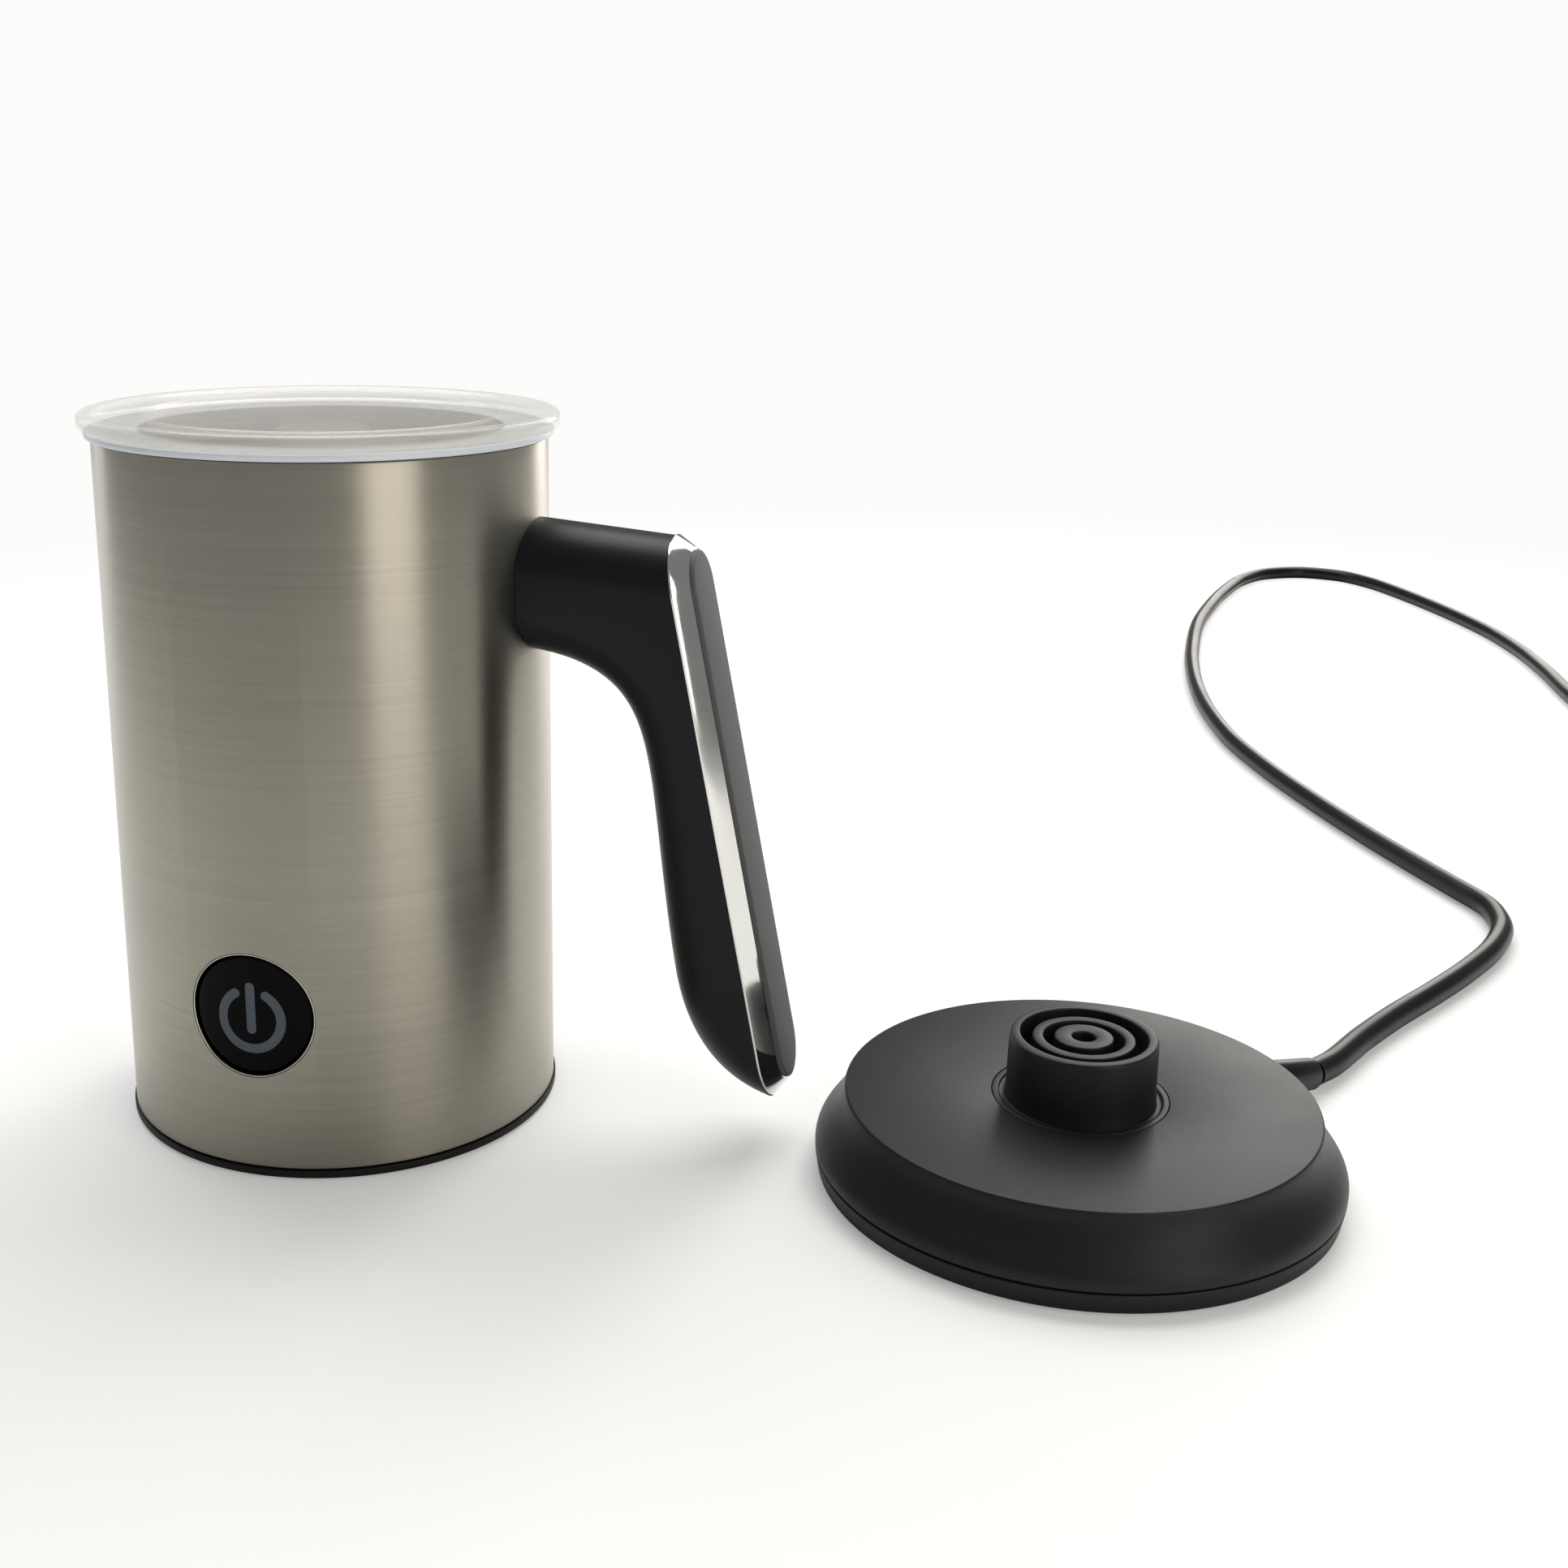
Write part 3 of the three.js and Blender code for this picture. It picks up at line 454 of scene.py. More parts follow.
def makePlug(values):
    nose, half, back = values["nose"], values["width"] / 2, values["nose"] + values["length"]
    pinAt, root = (-values["pitch"] / 2, values["pitch"] / 2), back - 5.5
    side = interpolate_bezier((nose, -values["shoulder"]), (nose + 12, -values["shoulder"]),
                              (nose + 16, -half), (back - 8, -half), 14)
    outline = [tuple(p)[:2] for p in side] + [(back, -half), (back, half)]
    outline += [(p[0], -p[1]) for p in reversed(side)]
    deep = values["thickness"] / 2
    slab = soften(prism(outline, -deep, deep), values["edge"], 6, 60)
    quarter = Matrix.Rotation(math.pi / 2, 4, "Y")
    ribs = [(0, 0.3), (3.5, 0.3, 0.3)]
    for i in range(values["ribs"]):  # each is a little wider than the one before
        start, radius = 3.4 + values["ribPitch"] * i, 3.8 + 0.26 * i
        ribs += [(radius, start, 0.2), (radius - 0.7, start + 0.3, 0.15), (radius - 0.7, start + 1.1, 0.15),
                 (radius + 0.15, start + 1.4, 0.2)]
    tail = lathe([*ribs, (5.2, nose + 6), (0, nose + 6)], 56, 3)
    body = combined(slab, [moved(tail, quarter)], "UNION")
    grips = []
    for level in (-1, 1):
        for i in range(values["grooves"]):  # finger grooves across both faces
            groove = moved(rodOf(values["groove"], -9, 9, 0.5, 20), facing)
            grips.append(moved(groove, at(nose + 10 + values["groovePitch"] * i, 0, level * (deep + 0.25))))
    radius, tip = values["pinRadius"], back + values["pinLength"]
    bores = [moved(rodOf(radius + 0.12, root - 0.5, back + 8, 0.05, 40), at(0, y) @ quarter) for y in pinAt]
    made = [standIn("plug_body", combined(body, grips + bores), plugPlace)]
    for i, y in enumerate(pinAt):
        pin = lathe([(0, root), (radius, root, 0.2), (radius, tip, 1.1), (0, tip)], 48, 6)
        made.append(standIn(f"plug_pin_{i + 1}", pin, plugPlace @ at(0, y) @ quarter))
    return made


powerCord = makeCord(cordValues, cordRoute)
strainRelief = makeStrainRelief(reliefValues)
plugPieces = makePlug(plugValues)
print("cord, strain relief and plug made")


# jug: shell, pot, foot and socket
jugValues = {"wall": 0.8, "potRadius": 39, "potFloor": 52, "corner": 6, "brim": 141.2, "steps": 192}
footValues = {"bore": 17.6, "plate": (1.2, 3), "rim": 0.4, "ledge": 2.1, "wallInner": 42.6, "wallTop": 8,
              "ring": (37.5, 41.5), "ringTop": 1.7, "ribs": (21.5, 25), "screwOrbit": 33, "screwHole": 1.8}
buttonValues = {"height": 34.6, "hole": 13, "radius": 12.1, "recess": 0.6, "bezel": 0.3, "depth": 6,
                "flange": 1.2, "back": 7.4}
screwValues = {"head": 2.8, "shank": 1.4, "slot": 0.42, "slotDepth": 0.7, "slotReach": 0.62}
socketValues = {"middle": 2.2, "bore": 15.7, "outer": 17.3, "ceiling": 13.8, "flange": 23,
                "flangeLevels": (3.3, 4.9), "ringWall": 0.7}


def makeShell(values):
    outer, inner = shellRadius, shellRadius - values["wall"]
    tube = lathe([(inner, shellLow, 0.2), (outer, shellLow, 0.2), (outer, shellHigh, 0.3),
                  (inner, shellHigh, 0.3)], values["steps"], 3)
    through = rodOf(buttonValues["hole"], outer - 10, outer + 10, 0.1, 128)
    hole = moved(through, at(0, 0, buttonValues["height"]) @ facing)
    return standIn("jug_shell", combined(tube, [hole]), atJug, crease=40)


def makePot(values):
    outer, floor, wall = values["potRadius"], values["potFloor"], values["wall"]
    corner, brim = values["corner"], values["brim"]
    rim = shellRadius - wall - 0.3
    outline = [
        (0, floor), (outer, floor, corner), (outer, brim - wall, 0.2), (rim, brim - wall, 0.3),
        (rim, brim, 0.35), (outer - wall, brim, 1.1), (outer - wall, floor + wall, corner - wall),
        (0, floor + wall),
    ]
    return standIn("inner_pot", lathe(outline, 144, 8), atJug)


def makeFoot(values):
    radius, inside = nodeSpan("bottom_cover")[1], shellRadius - 1.1
    bore, (under, over), rim, ledge = values["bore"], values["plate"], values["rim"], values["ledge"]
    wallInner, wallTop = values["wallInner"], values["wallTop"]
    dish = lathe([
        (bore, under, 0.2), (radius - 1.4, under, 0.1), (radius - 1, rim, 0.15), (radius - 0.3, rim, 0.2),
        (radius, rim + 0.4, 0.2), (radius, ledge, 0.15), (inside, ledge), (inside, wallTop, 0.2),
        (wallInner, wallTop, 0.2), (wallInner, over), (bore, over, 0.2),
    ], 144, 3)
    near, far = values["ring"]
    groove = ringOf(near - 0.3, far + 0.3, 0, 2, 0.05, 96)
    ribs = [ringOf(r, r + 0.8, 0.6, 1.5, 0.05, 96) for r in values["ribs"]]
    holes = [moved(rodOf(values["screwHole"], 0, 4, 0.1), at(x, y)) for x, y in jugScrews]
    standIn("bottom_cover", combined(dish, [groove, *ribs, *holes]), atJug)
    top = values["ringTop"]
    ring = lathe([(near, 0, 0.5), (far, 0, 0.5), (far, top, 0.2), (near, top, 0.2)], 128)
    standIn("jug_foot_ring", ring, atJug)


def makeScrew(node, head, low, high, place):
    shank = rodOf(screwValues["shank"], low, high, 0.3, 32)
    cap = combined(rodOf(screwValues["head"], *head, 0.25), [shank], "UNION")
    half, length = screwValues["slot"], screwValues["head"] * screwValues["slotReach"]
    depth = head[0] + screwValues["slotDepth"]
    slots = [blockOf((-length, length), (-half, half), (head[0] - 1, depth)),
             blockOf((-half, half), (-length, length), (head[0] - 1, depth - 0.001))]
    return standIn(node, combined(cap, slots), place)


def makeSocket(values):
    middle, bore, outer = values["middle"], values["bore"], values["outer"]
    ceiling, flange, (under, over) = values["ceiling"], values["flange"], values["flangeLevels"]
    standIn("jug_socket", lathe([
        (middle, ceiling, 0.2), (bore, ceiling, 0.6), (bore, 2), (bore + 0.6, 1.2, 0.2), (outer, 1.2, 0.2),
        (outer, under), (flange, under, 0.2), (flange, over, 0.2), (outer, over),
        (outer, ceiling + 2, 0.3), (middle, ceiling + 2, 0.2),
    ], 96), atJug)
    for node in ("socket_inner_ring", "socket_outer_ring"):
        radius, low, high = nodeSpan(node)[1:]
        standIn(node, ringOf(radius - values["ringWall"], radius, low, high, 0.2), atJug)
    radius, low, high = nodeSpan("socket_centre_pin")[1:]
    standIn("socket_centre_pin", rodOf(radius, low, high, 1.0), atJug)


jugScrews = around(3, footValues["screwOrbit"], 90)
makeShell(jugValues)
makePot(jugValues)
makeFoot(footValues)
makeSocket(socketValues)
for i, (x, y) in enumerate(jugScrews):
    makeScrew(f"jug_screw_{i + 1}", (0.3, 0.9), 0.5, 14, atJug @ at(x, y))
print("jug shell, pot, foot and socket made")


# jug: button with its bezel and symbol
symbolValues = {"radius": 6.1, "stroke": 1.9, "gap": 31, "centre": -0.95, "barTop": 6.8, "barFoot": -3.9,
                "proud": 0.05}


# Bends a flat round piece, drawn in XY and facing +Z, onto a cylinder about the jug's axis.
def bentOnShell(bm, radius):
    for vertex in bm.verts:
        vertex.co.z += math.sqrt(radius ** 2 - vertex.co.x ** 2)
    return moved(bm, atJug @ at(0, 0, buttonValues["height"]) @ facing)


def arcOf(radius, start, end, steps, centre=(0, 0)):
    angles = [math.radians(start + (end - start) * i / steps) for i in range(steps + 1)]
    return [(centre[0] + radius * math.cos(a), centre[1] + radius * math.sin(a)) for a in angles]


def makeButton(values):
    radius, face = values["radius"], shellRadius - values["recess"]
    depth, back, flange = values["depth"], values["back"], radius + values["flange"]
    inwards = [(radius * i / 8, 0) for i in range(8)]  # enough rings for the face to follow the shell
    cap = lathe([*inwards, (radius, 0, 0.45), (radius, -depth, 0.1), (flange, -depth, 0.1),
                 (flange, -back, 0.1), (0, -back)], 128, 5)
    standIn("power_button", bentOnShell(cap, face))
    outer, inner = values["hole"] - 0.12, values["hole"] - 0.12 - values["bezel"]
    sleeve = lathe([(inner, -0.08, 0.12), (outer, -0.02, 0.1), (outer, -depth, 0.1), (inner, -depth, 0.1)],
                   144, 3)
    standIn("button_bezel", bentOnShell(sleeve, shellRadius))


def makeSymbol(values):
    middle, half, gap = values["radius"], values["stroke"] / 2, values["gap"]
    tipAt = {side: arcOf(middle, 90 + side * gap, 90, 1)[0] for side in (-1, 1)}
    broken = arcOf(middle + half, 90 + gap, 450 - gap, 64)
    broken += arcOf(half, 90 - gap, 270 - gap, 10, tipAt[-1])[1:-1]
    broken += arcOf(middle - half, 450 - gap, 90 + gap, 64)
    broken += arcOf(half, 270 + gap, 450 + gap, 10, tipAt[1])[1:-1]
    broken = [(x, y + values["centre"]) for x, y in broken]
    bar = arcOf(half, 0, 180, 12, (0, values["barTop"] - half))
    bar += arcOf(half, 180, 360, 12, (0, values["barFoot"] + half))
    face = shellRadius - buttonValues["recess"]
    shapes = [prism(outline, -0.3, values["proud"]) for outline in (broken, bar)]
    whole = combined(shapes[0], [shapes[1]], "UNION")
    bmesh.ops.triangulate(whole, faces=whole.faces)
    return standIn("power_button", bentOnShell(whole, face), name="powerSymbol", material=symbolPaint)


makeButton(buttonValues)
makeSymbol(symbolValues)
print("button, bezel and symbol made")


# jug: handle
handleValues = {
    "top": (72.9, 125.5), "slope": 0.199, "length": 118, "width": 22,
    "stubTop": 128.6, "stubBottom": 101.8, "rounding": 10, "roundSteps": 12, "arcSteps": 28,
    "edge": 0.4, "chamfer": 3, "land": 0.4, "proud": 0.9,
    "within": 25, "root": 38, "knee": (69.2, 75), "shin": (74.6, 35), "beyond": 15,
}
gripTilt = math.atan(handleValues["slope"])
gripOut = Vector((math.cos(gripTilt), 0, math.sin(gripTilt)))
gripUp = Vector((-math.sin(gripTilt), 0, math.cos(gripTilt)))
gripTop = Vector((handleValues["top"][0], 0, handleValues["top"][1]))
gripPlace = atJug @ at(*gripTop) @ Matrix((Vector((0, 1, 0)), gripUp, gripOut)).transposed().to_4x4()


def stadium(inset):
    half, length = handleValues["width"] / 2, handleValues["length"]
    steps = handleValues["arcSteps"]
    return (arcOf(half - inset, 0, 180, steps, (0, -half))
            + arcOf(half - inset, 180, 360, steps, (0, half - length)))


def handleOutline(values):
    end = gripTop - gripUp * values["length"]
    within, beyond, bottom = values["within"], values["beyond"], values["stubBottom"]
    knee, shin = values["knee"], values["shin"]
    outline = [(within, bottom)]
    outline += interpolate_bezier((values["root"], bottom), (64, bottom - 1), (66.6, 91), knee, 26)[:-1]
    outline += interpolate_bezier(knee, (70.8, 64), (72.2, 48), shin, 14)[:-1]
    outline += interpolate_bezier(shin, (77, 23), (83, 13.4), (end.x - 1, end.z), 22)
    outline += [(end.x + beyond, end.z - 4), (gripTop.x + beyond, gripTop.z - 1.4),
                (within, values["stubTop"] + 0.6)]
    return [tuple(point)[:2] for point in outline]


def makeHandleBody(values):
    rounding, half = values["rounding"], values["rounding"] + 0.2
    bm = prism(handleOutline(values), -half, half)
    caps = [f for f in bm.faces if abs(f.normal.z) > 0.9]
    rims = list({edge for face in caps for edge in face.edges})
    bmesh.ops.bevel(bm, geom=rims, offset=rounding, offset_type="OFFSET", segments=values["roundSteps"],
                    profile=0.5, affect="EDGES", material=-1, clamp_overlap=False)
    widened = Matrix.Diagonal((1, 1, values["width"] / (2 * half), 1))
    moved(bm, facing @ widened)
    cutAt = gripTop - gripOut * 0.05
    halved = bmesh.ops.bisect_plane(bm, geom=bm.verts[:] + bm.edges[:] + bm.faces[:], dist=1e-4,
                                    plane_co=cutAt, plane_no=gripOut, clear_outer=True)["geom_cut"]
    bmesh.ops.edgeloop_fill(bm, edges=[e for e in halved if isinstance(e, bmesh.types.BMEdge)])
    bmesh.ops.remove_doubles(bm, verts=bm.verts, dist=1e-3)
    bmesh.ops.recalc_face_normals(bm, faces=bm.faces)
    drum = rodOf(shellRadius + 0.06, 80, 150, 0.1, 192)
    return standIn("handle_body", combined(bm, [drum]), atJug, crease=38)


def makeHandleTrim(values):
    chamfer, land, edge = values["chamfer"], values["land"], values["edge"]
    across, top = chamfer + land, edge + chamfer
    profile = [(0, 0), (0, edge), (chamfer, top), (across, top), (across, 0)]
    bm = bmesh.new()
    loops = []
    for inset, height in profile:
        ring = [bm.verts.new((x, y, height)) for x, y in stadium(inset)]
        loops.append([bm.edges.new(pair) for pair in zip(ring, ring[1:] + ring[:1])])
    for lower, upper in zip(loops, loops[1:] + loops[:1]):
        bmesh.ops.bridge_loops(bm, edges=lower + upper)
    bmesh.ops.recalc_face_normals(bm, faces=bm.faces)
    return standIn("handle_trim", soften(bm, 0.16, 3, 30), gripPlace, crease=50)


def makeGripInlay(values):
    inset = values["chamfer"] + values["land"] + 0.08
    height = values["edge"] + values["chamfer"] + values["proud"]
    bm = soften(prism(stadium(inset), 0, height), 0.55, 5, 40)
    return standIn("grip_inlay", bm, gripPlace)


makeHandleBody(handleValues)
makeHandleTrim(handleValues)
makeGripInlay(handleValues)
print("handle made")


# lid
lidValues = {"skirt": 36.1, "wall": 1.1, "rise": 0.7, "ridge": 36, "panel": 1.7, "seal": 37.8,
             "holderWall": 1.6, "slots": 3, "slotHalf": 0.8}


def makeLid(values):
    radius, low, top = nodeSpan("lid_cover")[1:]
    under, skirt, ridge = low + 6, values["skirt"], values["ridge"]
    within, step, panel = skirt - values["wall"], top - values["rise"], top - values["panel"]
    standIn("lid_cover", lathe([
        (0, under - 0.3), (within, under - 0.3, 0.2), (within, low, 0.3), (skirt, low, 0.3),
        (skirt, under, 0.2), (radius - 0.3, under, 0.6), (radius, under + 1.2, 0.9),
        (radius - 0.3, top, 0.9), (radius - 3.6, top, 0.5), (radius - 4.4, step, 0.4),
        (ridge + 0.4, step, 0.35), (ridge, step + 0.35, 0.2), (ridge - 0.6, step + 0.2, 0.2),
        (ridge - 1.4, panel, 0.4), (0, panel),
    ], 192, 4), atJug)
    lip, sealLow, sealTop = nodeSpan("lid_seal")[1:]
    inner, plug, under = skirt + 0.1, values["seal"], sealTop - 1.3
    standIn("lid_seal", lathe([
        (inner, sealLow, 0.2), (plug, sealLow, 0.5), (plug, sealLow + 1.6, 0.2),
        (plug - 0.5, sealLow + 2.1, 0.2), (plug - 0.5, sealLow + 2.7, 0.2), (plug, sealLow + 3.2, 0.2),
        (plug, under, 0.3), (lip, under, 0.35), (lip, sealTop, 0.35), (inner, sealTop, 0.2),
    ], 160, 3), atJug)


def makeWhiskHolder(values):
    radius, low, top = nodeSpan("whisk_holder")[1:]
    inner, ceiling = radius - values["holderWall"], top - values["holderWall"]
    cup = lathe([(0, ceiling), (inner, ceiling, 0.5), (inner, low, 0.4), (radius, low, 0.4),
                 (radius, top, 0.3), (0, top)], 96)
    half, slots = values["slotHalf"], values["slots"]
    cuts = [moved(blockOf((-20, 20), (-half, half), (low - 1, top - 3)),
                  Matrix.Rotation(math.pi * i / slots, 4, "Z")) for i in range(slots)]
    standIn("whisk_holder", combined(cup, cuts), atJug)


makeLid(lidValues)
makeWhiskHolder(lidValues)
print("lid made")


# power base
baseValues = {"discTop": 17.9, "discRadius": 46.7, "skin": 1.8, "flange": 17.4, "steps": 192,
              "footOrbit": 42, "screwOrbit": 30, "screwWell": 3.2, "footWell": 5.3, "leadHole": 4.7}
connectorValues = {"floor": 19, "outer": 14.6, "inner": 12.5, "lip": 16.3,
                   "rings": {"connector_collar": 7.9, "connector_hub": 2.3},  # their bores
                   "contacts": {"outer_contact": 10.5, "inner_contact": 6.2}}
baseFeet = around(3, baseValues["footOrbit"], 30)
baseScrews = around(3, baseValues["screwOrbit"], 90)


def leadHole():  # where the cord comes through the rim
    way = (at(0, 0, reliefValues["height"]) @ Matrix.Rotation(math.radians(reliefValues["angle"]), 4, "Z")
           @ Matrix.Rotation(math.pi / 2, 4, "Y"))
    return moved(rodOf(baseValues["leadHole"], 40, 60, 0.1), way)


def makeBaseCovers(values):
    band, top, disc, skin = bandRadius, values["discTop"], values["discRadius"], values["skin"]
    mouth = values["flange"] + 0.12
    flare = interpolate_bezier((band, seam + 1.2), (band - 0.1, 9.5), (disc + 1.2, 11.5),
                               (disc + 0.2, top - 0.6), 22)
    rising = [tuple(point)[:2] for point in flare]
    outline = [(band - skin, seam + 0.2, 0.2), (band, seam + 0.2, 0.25), *rising, (disc, top, 0.28),
               (mouth, top, 0.15), (mouth, top - skin), (disc - skin, top - skin)]
    outline += [(r - skin, z) for r, z in reversed(rising[2:-6])]
    upper = lathe(outline, values["steps"], 4)
    standIn("base_upper_cover", combined(upper, [leadHole()]), atBase, crease=36)
    lower = lathe([
        (0, baseLow), (band - 1.4, baseLow, 0.3), (band - 0.7, baseLow + 0.5, 0.3),
        (band, seam - 0.15, 0.3), (band - 1.8, seam - 0.15), (band - 2.4, baseLow + skin),
        (0, baseLow + skin),
    ], values["steps"], 3)
    wells = [moved(rodOf(values["screwWell"], -1, 1.9, 0.1), at(x, y)) for x, y in baseScrews]
    wells += [moved(rodOf(values["footWell"], -1, 1.5, 0.1), at(x, y)) for x, y in baseFeet]
    standIn("base_lower_cover", combined(lower, [*wells, leadHole()]), atBase, crease=36)


def makeConnector(values):
    top = nodeSpan("connector_housing")[3]
    disc, flange, skin = baseValues["discTop"], baseValues["flange"], baseValues["skin"]
    lip, outer, inner, floor = (values[key] for key in ("lip", "outer", "inner", "floor"))
    standIn("connector_housing", lathe([
        (0, disc - skin), (flange, disc - skin), (flange, disc - 0.02, 0.15), (lip, disc - 0.02, 0.15),
        (lip - 0.4, disc - 0.5, 0.15), (outer + 0.4, disc - 0.5, 0.1), (outer + 0.15, disc + 2, 0.6),
        (outer, top, 0.7), (inner, top, 0.35), (inner - 0.1, floor), (0, floor),
    ], 144, 5), atBase)
    for node, bore in values["rings"].items():
        radius, low, high = nodeSpan(node)[1:]
        raised = [(bore, low), (radius, low), (radius, high, 0.35), (bore, high, 0.45)]
        standIn(node, lathe(raised, 112), atBase)
    for node, bore in values["contacts"].items():
        radius, low, high = nodeSpan(node)[1:]
        standIn(node, ringOf(bore, radius, low, high, 0.2), atBase)
    radius, low, high = nodeSpan("centre_contact")[1:]
    standIn("centre_contact", rodOf(radius, low, high, 0.8), atBase)


makeBaseCovers(baseValues)
makeConnector(connectorValues)
for i, (x, y) in enumerate(baseFeet):
    foot = lathe([(0, 0), (5, 0, 0.5), (5, 1.2, 0.1), (0, 1.2)], 64)
    standIn(f"base_foot_{i + 1}", foot, atBase @ at(x, y))
for i, (x, y) in enumerate(baseScrews):
    makeScrew(f"base_screw_{i + 1}", (1, 2.3), 2, 12, atBase @ at(x, y))
print("power base made")


# whisk
whiskValues = {"coilOrbit": 15.4, "coil": 1.2, "wire": 0.5, "turns": 54, "perTurn": 14, "hub": 4.2,
               "rim": 13.4, "bore": 1.8, "foot": 11, "footHigh": 2.8, "spokes": 3, "spokeHalf": 0.9,
               "magnet": 2.9, "magnetHigh": 1.7, "magnetOrbit": 7}
magnetSpots = around(2, whiskValues["magnetOrbit"])


def makeWhiskFrame(values):
    low, top = nodeSpan("whisk_frame")[2:]
    hub, bore, radius, high = (values[key] for key in ("hub", "bore", "foot", "footHigh"))
    foot = lathe([(bore, low, 0.1), (radius, low, 0.4), (radius, low + high, 0.5), (hub, low + high, 0.8),
                  (hub, top, 0.8), (bore, top - 0.4, 0.2)], 96)
    rim = ringOf(values["rim"] - 1, values["rim"], low + 2.4, low + 4, 0.2, 96)
    half, reach = values["spokeHalf"], (hub - 1, values["rim"] - 0.4)
    spokes = [moved(soften(blockOf(reach, (-half, half), (low + 2.2, low + 3.8)), 0.25),
                    Matrix.Rotation(fullTurn * i / values["spokes"], 4, "Z"))
              for i in range(values["spokes"])]
    pockets = [moved(rodOf(values["magnet"] + 0.15, low - 1, low + values["magnetHigh"] + 0.2, 0.1), at(x, y))
               for x, y in magnetSpots]
    standIn("whisk_frame", combined(combined(foot, [rim, *spokes], "UNION"), pockets), atJug)


# Winds a wire round a ring, as a closed curve that is then turned into a mesh.
def makeWhiskCoil(values):
    middle = nodeSpan("whisk_frame")[2] + 3.2
    curve = bpy.data.curves.new("coil", "CURVE")
    curve.dimensions, curve.bevel_depth, curve.bevel_resolution = "3D", values["wire"], 2
    count = values["turns"] * values["perTurn"]
    spline = curve.splines.new("POLY")
    spline.points.add(count - 1)
    spline.use_cyclic_u = True
    for i, point in enumerate(spline.points):
        way, twist = fullTurn * i / count, fullTurn * i / values["perTurn"]
        orbit = values["coilOrbit"] + values["coil"] * math.cos(twist)
        height = middle + values["coil"] * math.sin(twist)
        point.co = (orbit * math.cos(way), orbit * math.sin(way), height, 1)
    wire = bpy.data.objects.new("coil", curve)
    scene.collection.objects.link(wire)
    coil = bmesh.new()
    wound = bpy.data.meshes.new_from_object(wire.evaluated_get(bpy.context.evaluated_depsgraph_get()))
    coil.from_mesh(wound)
    bpy.data.objects.remove(wire)
    bmesh.ops.remove_doubles(coil, verts=coil.verts, dist=1e-4)
    bmesh.ops.recalc_face_normals(coil, faces=coil.faces)
    standIn("whisk_coil", coil, atJug, crease=70)


def makeWhiskMagnets(values):
    low = nodeSpan("whisk_frame")[2]
    for i, (x, y) in enumerate(magnetSpots):
        magnet = rodOf(values["magnet"], low, low + values["magnetHigh"], 0.3)
        standIn(f"whisk_magnet_{i + 1}", magnet, atJug @ at(x, y))


def makeSpindle():
    radius, low, top = nodeSpan("whisk_spindle")[1:]
    standIn("whisk_spindle", rodOf(radius, low, top, 0.7), atJug)


makeWhiskFrame(whiskValues)
makeWhiskCoil(whiskValues)
makeWhiskMagnets(whiskValues)
makeSpindle()
print("whisk made")


# pieces that keep their CAD shape
kept = [node for node in frame["nodes"] if not frame["nodes"][node].hide_render]
for node in kept:
    mesh = frame["nodes"][node].data
    mesh.materials.clear()
    mesh.materials.append(materialOf[slotOf[node]])
print("kept as they are:", ", ".join(sorted(kept)))


# floor and lights
studioValues = {
    "floorRadius": 14, "room": 0.24, "beyond": 1.02, "middle": (0.06, 0.12, 0), "aim": (0, 0, 0.06),
    "clear": (0.2, 0.75), "nearShare": 0.3,  # the floor turns to plain backdrop between these distances
    "boxes": [  # name, place, size across and up, power, colour
        ("topBox", (-0.2, 0.9, 1.9), (2.4, 1.4), 46, "ffffff"),
        ("rightBox", (1.0, -0.72, 0.62), (0.66, 1.2), 6, "fff8ef"),
        ("backStrip", (0.3, 1.4, 0.62), (0.5, 1.2), 7, "fffaf4"),
        ("leftStrip", (-1.2, 0.6, 0.62), (0.46, 1.2), 2.4, "f8f9ff"),
    ],
}


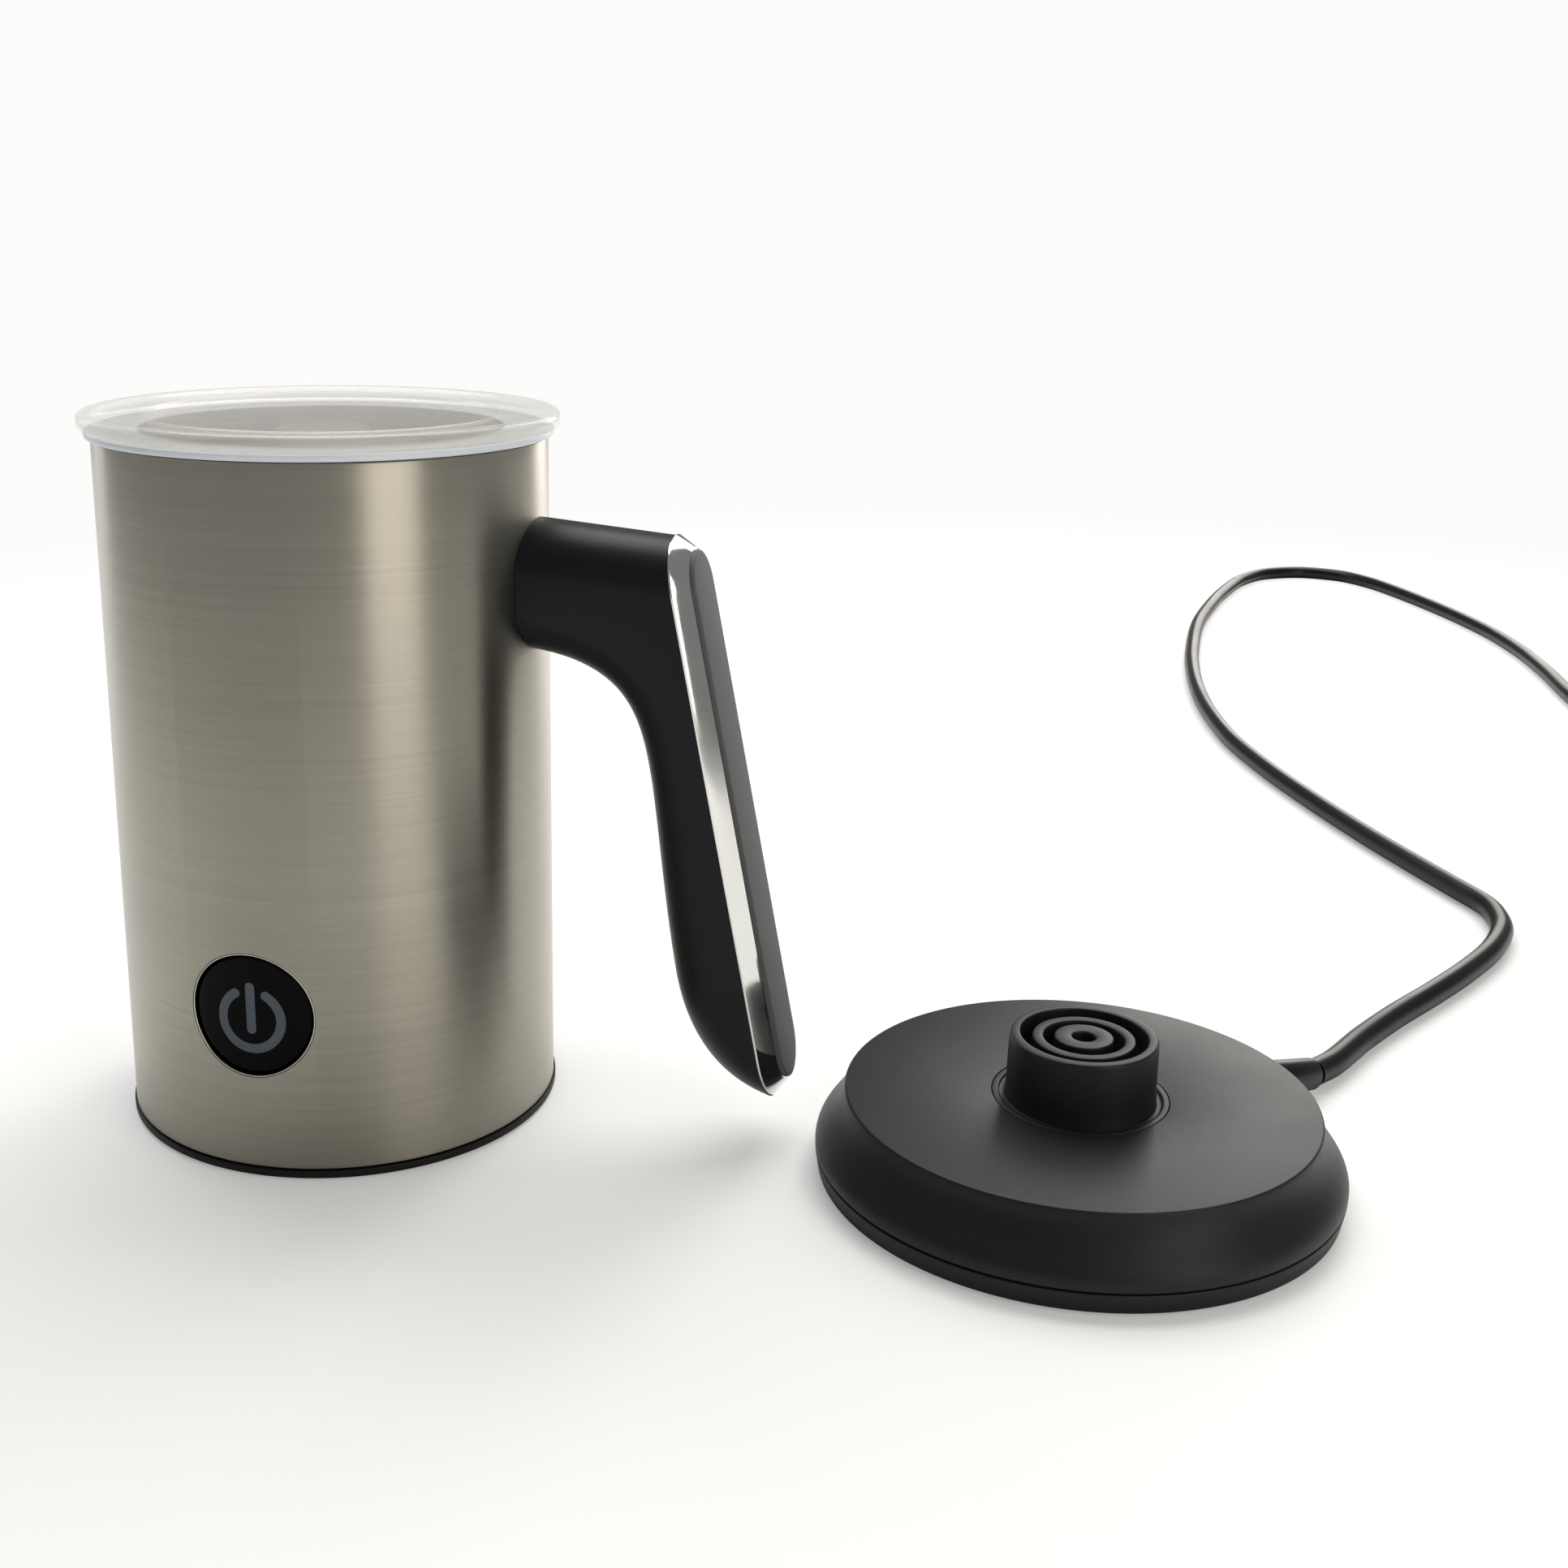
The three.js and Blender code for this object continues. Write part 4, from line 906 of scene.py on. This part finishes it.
def makeFloorPaint(values):
    paint = moulded("paleFloor", "f6f5f3", 0.8, grain=120, depth=0.0, shade=0.02, spread=0.05)
    tree = paint.node_tree
    place = addNode(tree, "TexCoord")["Object"]
    away = addNode(tree, "VectorMath", {0: place, 1: values["middle"]}, operation="DISTANCE")["Value"]
    near, far = values["clear"]
    share = addNode(tree, "MapRange", {"Value": away, 1: near, 2: far, 3: values["nearShare"], 4: 1},
                    interpolation_type="SMOOTHSTEP")[0]
    seen = addNode(tree, "Math", {0: addNode(tree, "LightPath")["Is Camera Ray"], 1: share},
                   operation="MULTIPLY")[0]
    plain = addNode(tree, "Emission", {"Color": tint("fafaf9"), "Strength": values["beyond"]})[0]
    output = next(n for n in tree.nodes if n.type == "OUTPUT_MATERIAL")
    lit = output.inputs["Surface"].links[0].from_socket
    mixed = addNode(tree, "MixShader", {0: seen, 1: lit, 2: plain})[0]
    tree.links.new(mixed, output.inputs["Surface"])
    return paint


def makeStudio(values):
    ground = bmesh.new()
    bmesh.ops.create_circle(ground, cap_ends=True, radius=values["floorRadius"], segments=96)
    floor = bpy.data.objects.new("floor", meshFrom(ground, "floor"))
    scene.collection.objects.link(floor)
    floor.data.materials.append(makeFloorPaint(values))
    world = bpy.data.worlds.new("studio")
    scene.world = world
    world.use_nodes = True
    tree = world.node_tree
    seen = addNode(tree, "LightPath")["Is Camera Ray"]  # the room is dim, and the backdrop is pale
    span = values["beyond"] - values["room"]
    brightness = addNode(tree, "Math", {0: seen, 1: span, 2: values["room"]}, operation="MULTIPLY_ADD")[0]
    tree.nodes["Background"].inputs["Color"].default_value = tint("fafaf9")
    tree.links.new(brightness, tree.nodes["Background"].inputs["Strength"])
    for name, place, size, power, colour in values["boxes"]:
        light = bpy.data.lights.new(name, "AREA")
        light.shape, light.size, light.size_y = "RECTANGLE", *size
        light.energy, light.color = power, tint(colour)[:3]
        lamp = bpy.data.objects.new(name, light)
        lamp.visible_camera = False
        towards = Vector(values["aim"]) - Vector(place)
        turned = towards.to_track_quat("-Z", "Y").to_matrix().to_4x4()
        lamp.matrix_world = Matrix.Translation(place) @ turned
        scene.collection.objects.link(lamp)


makeStudio(studioValues)
print("studio lit")
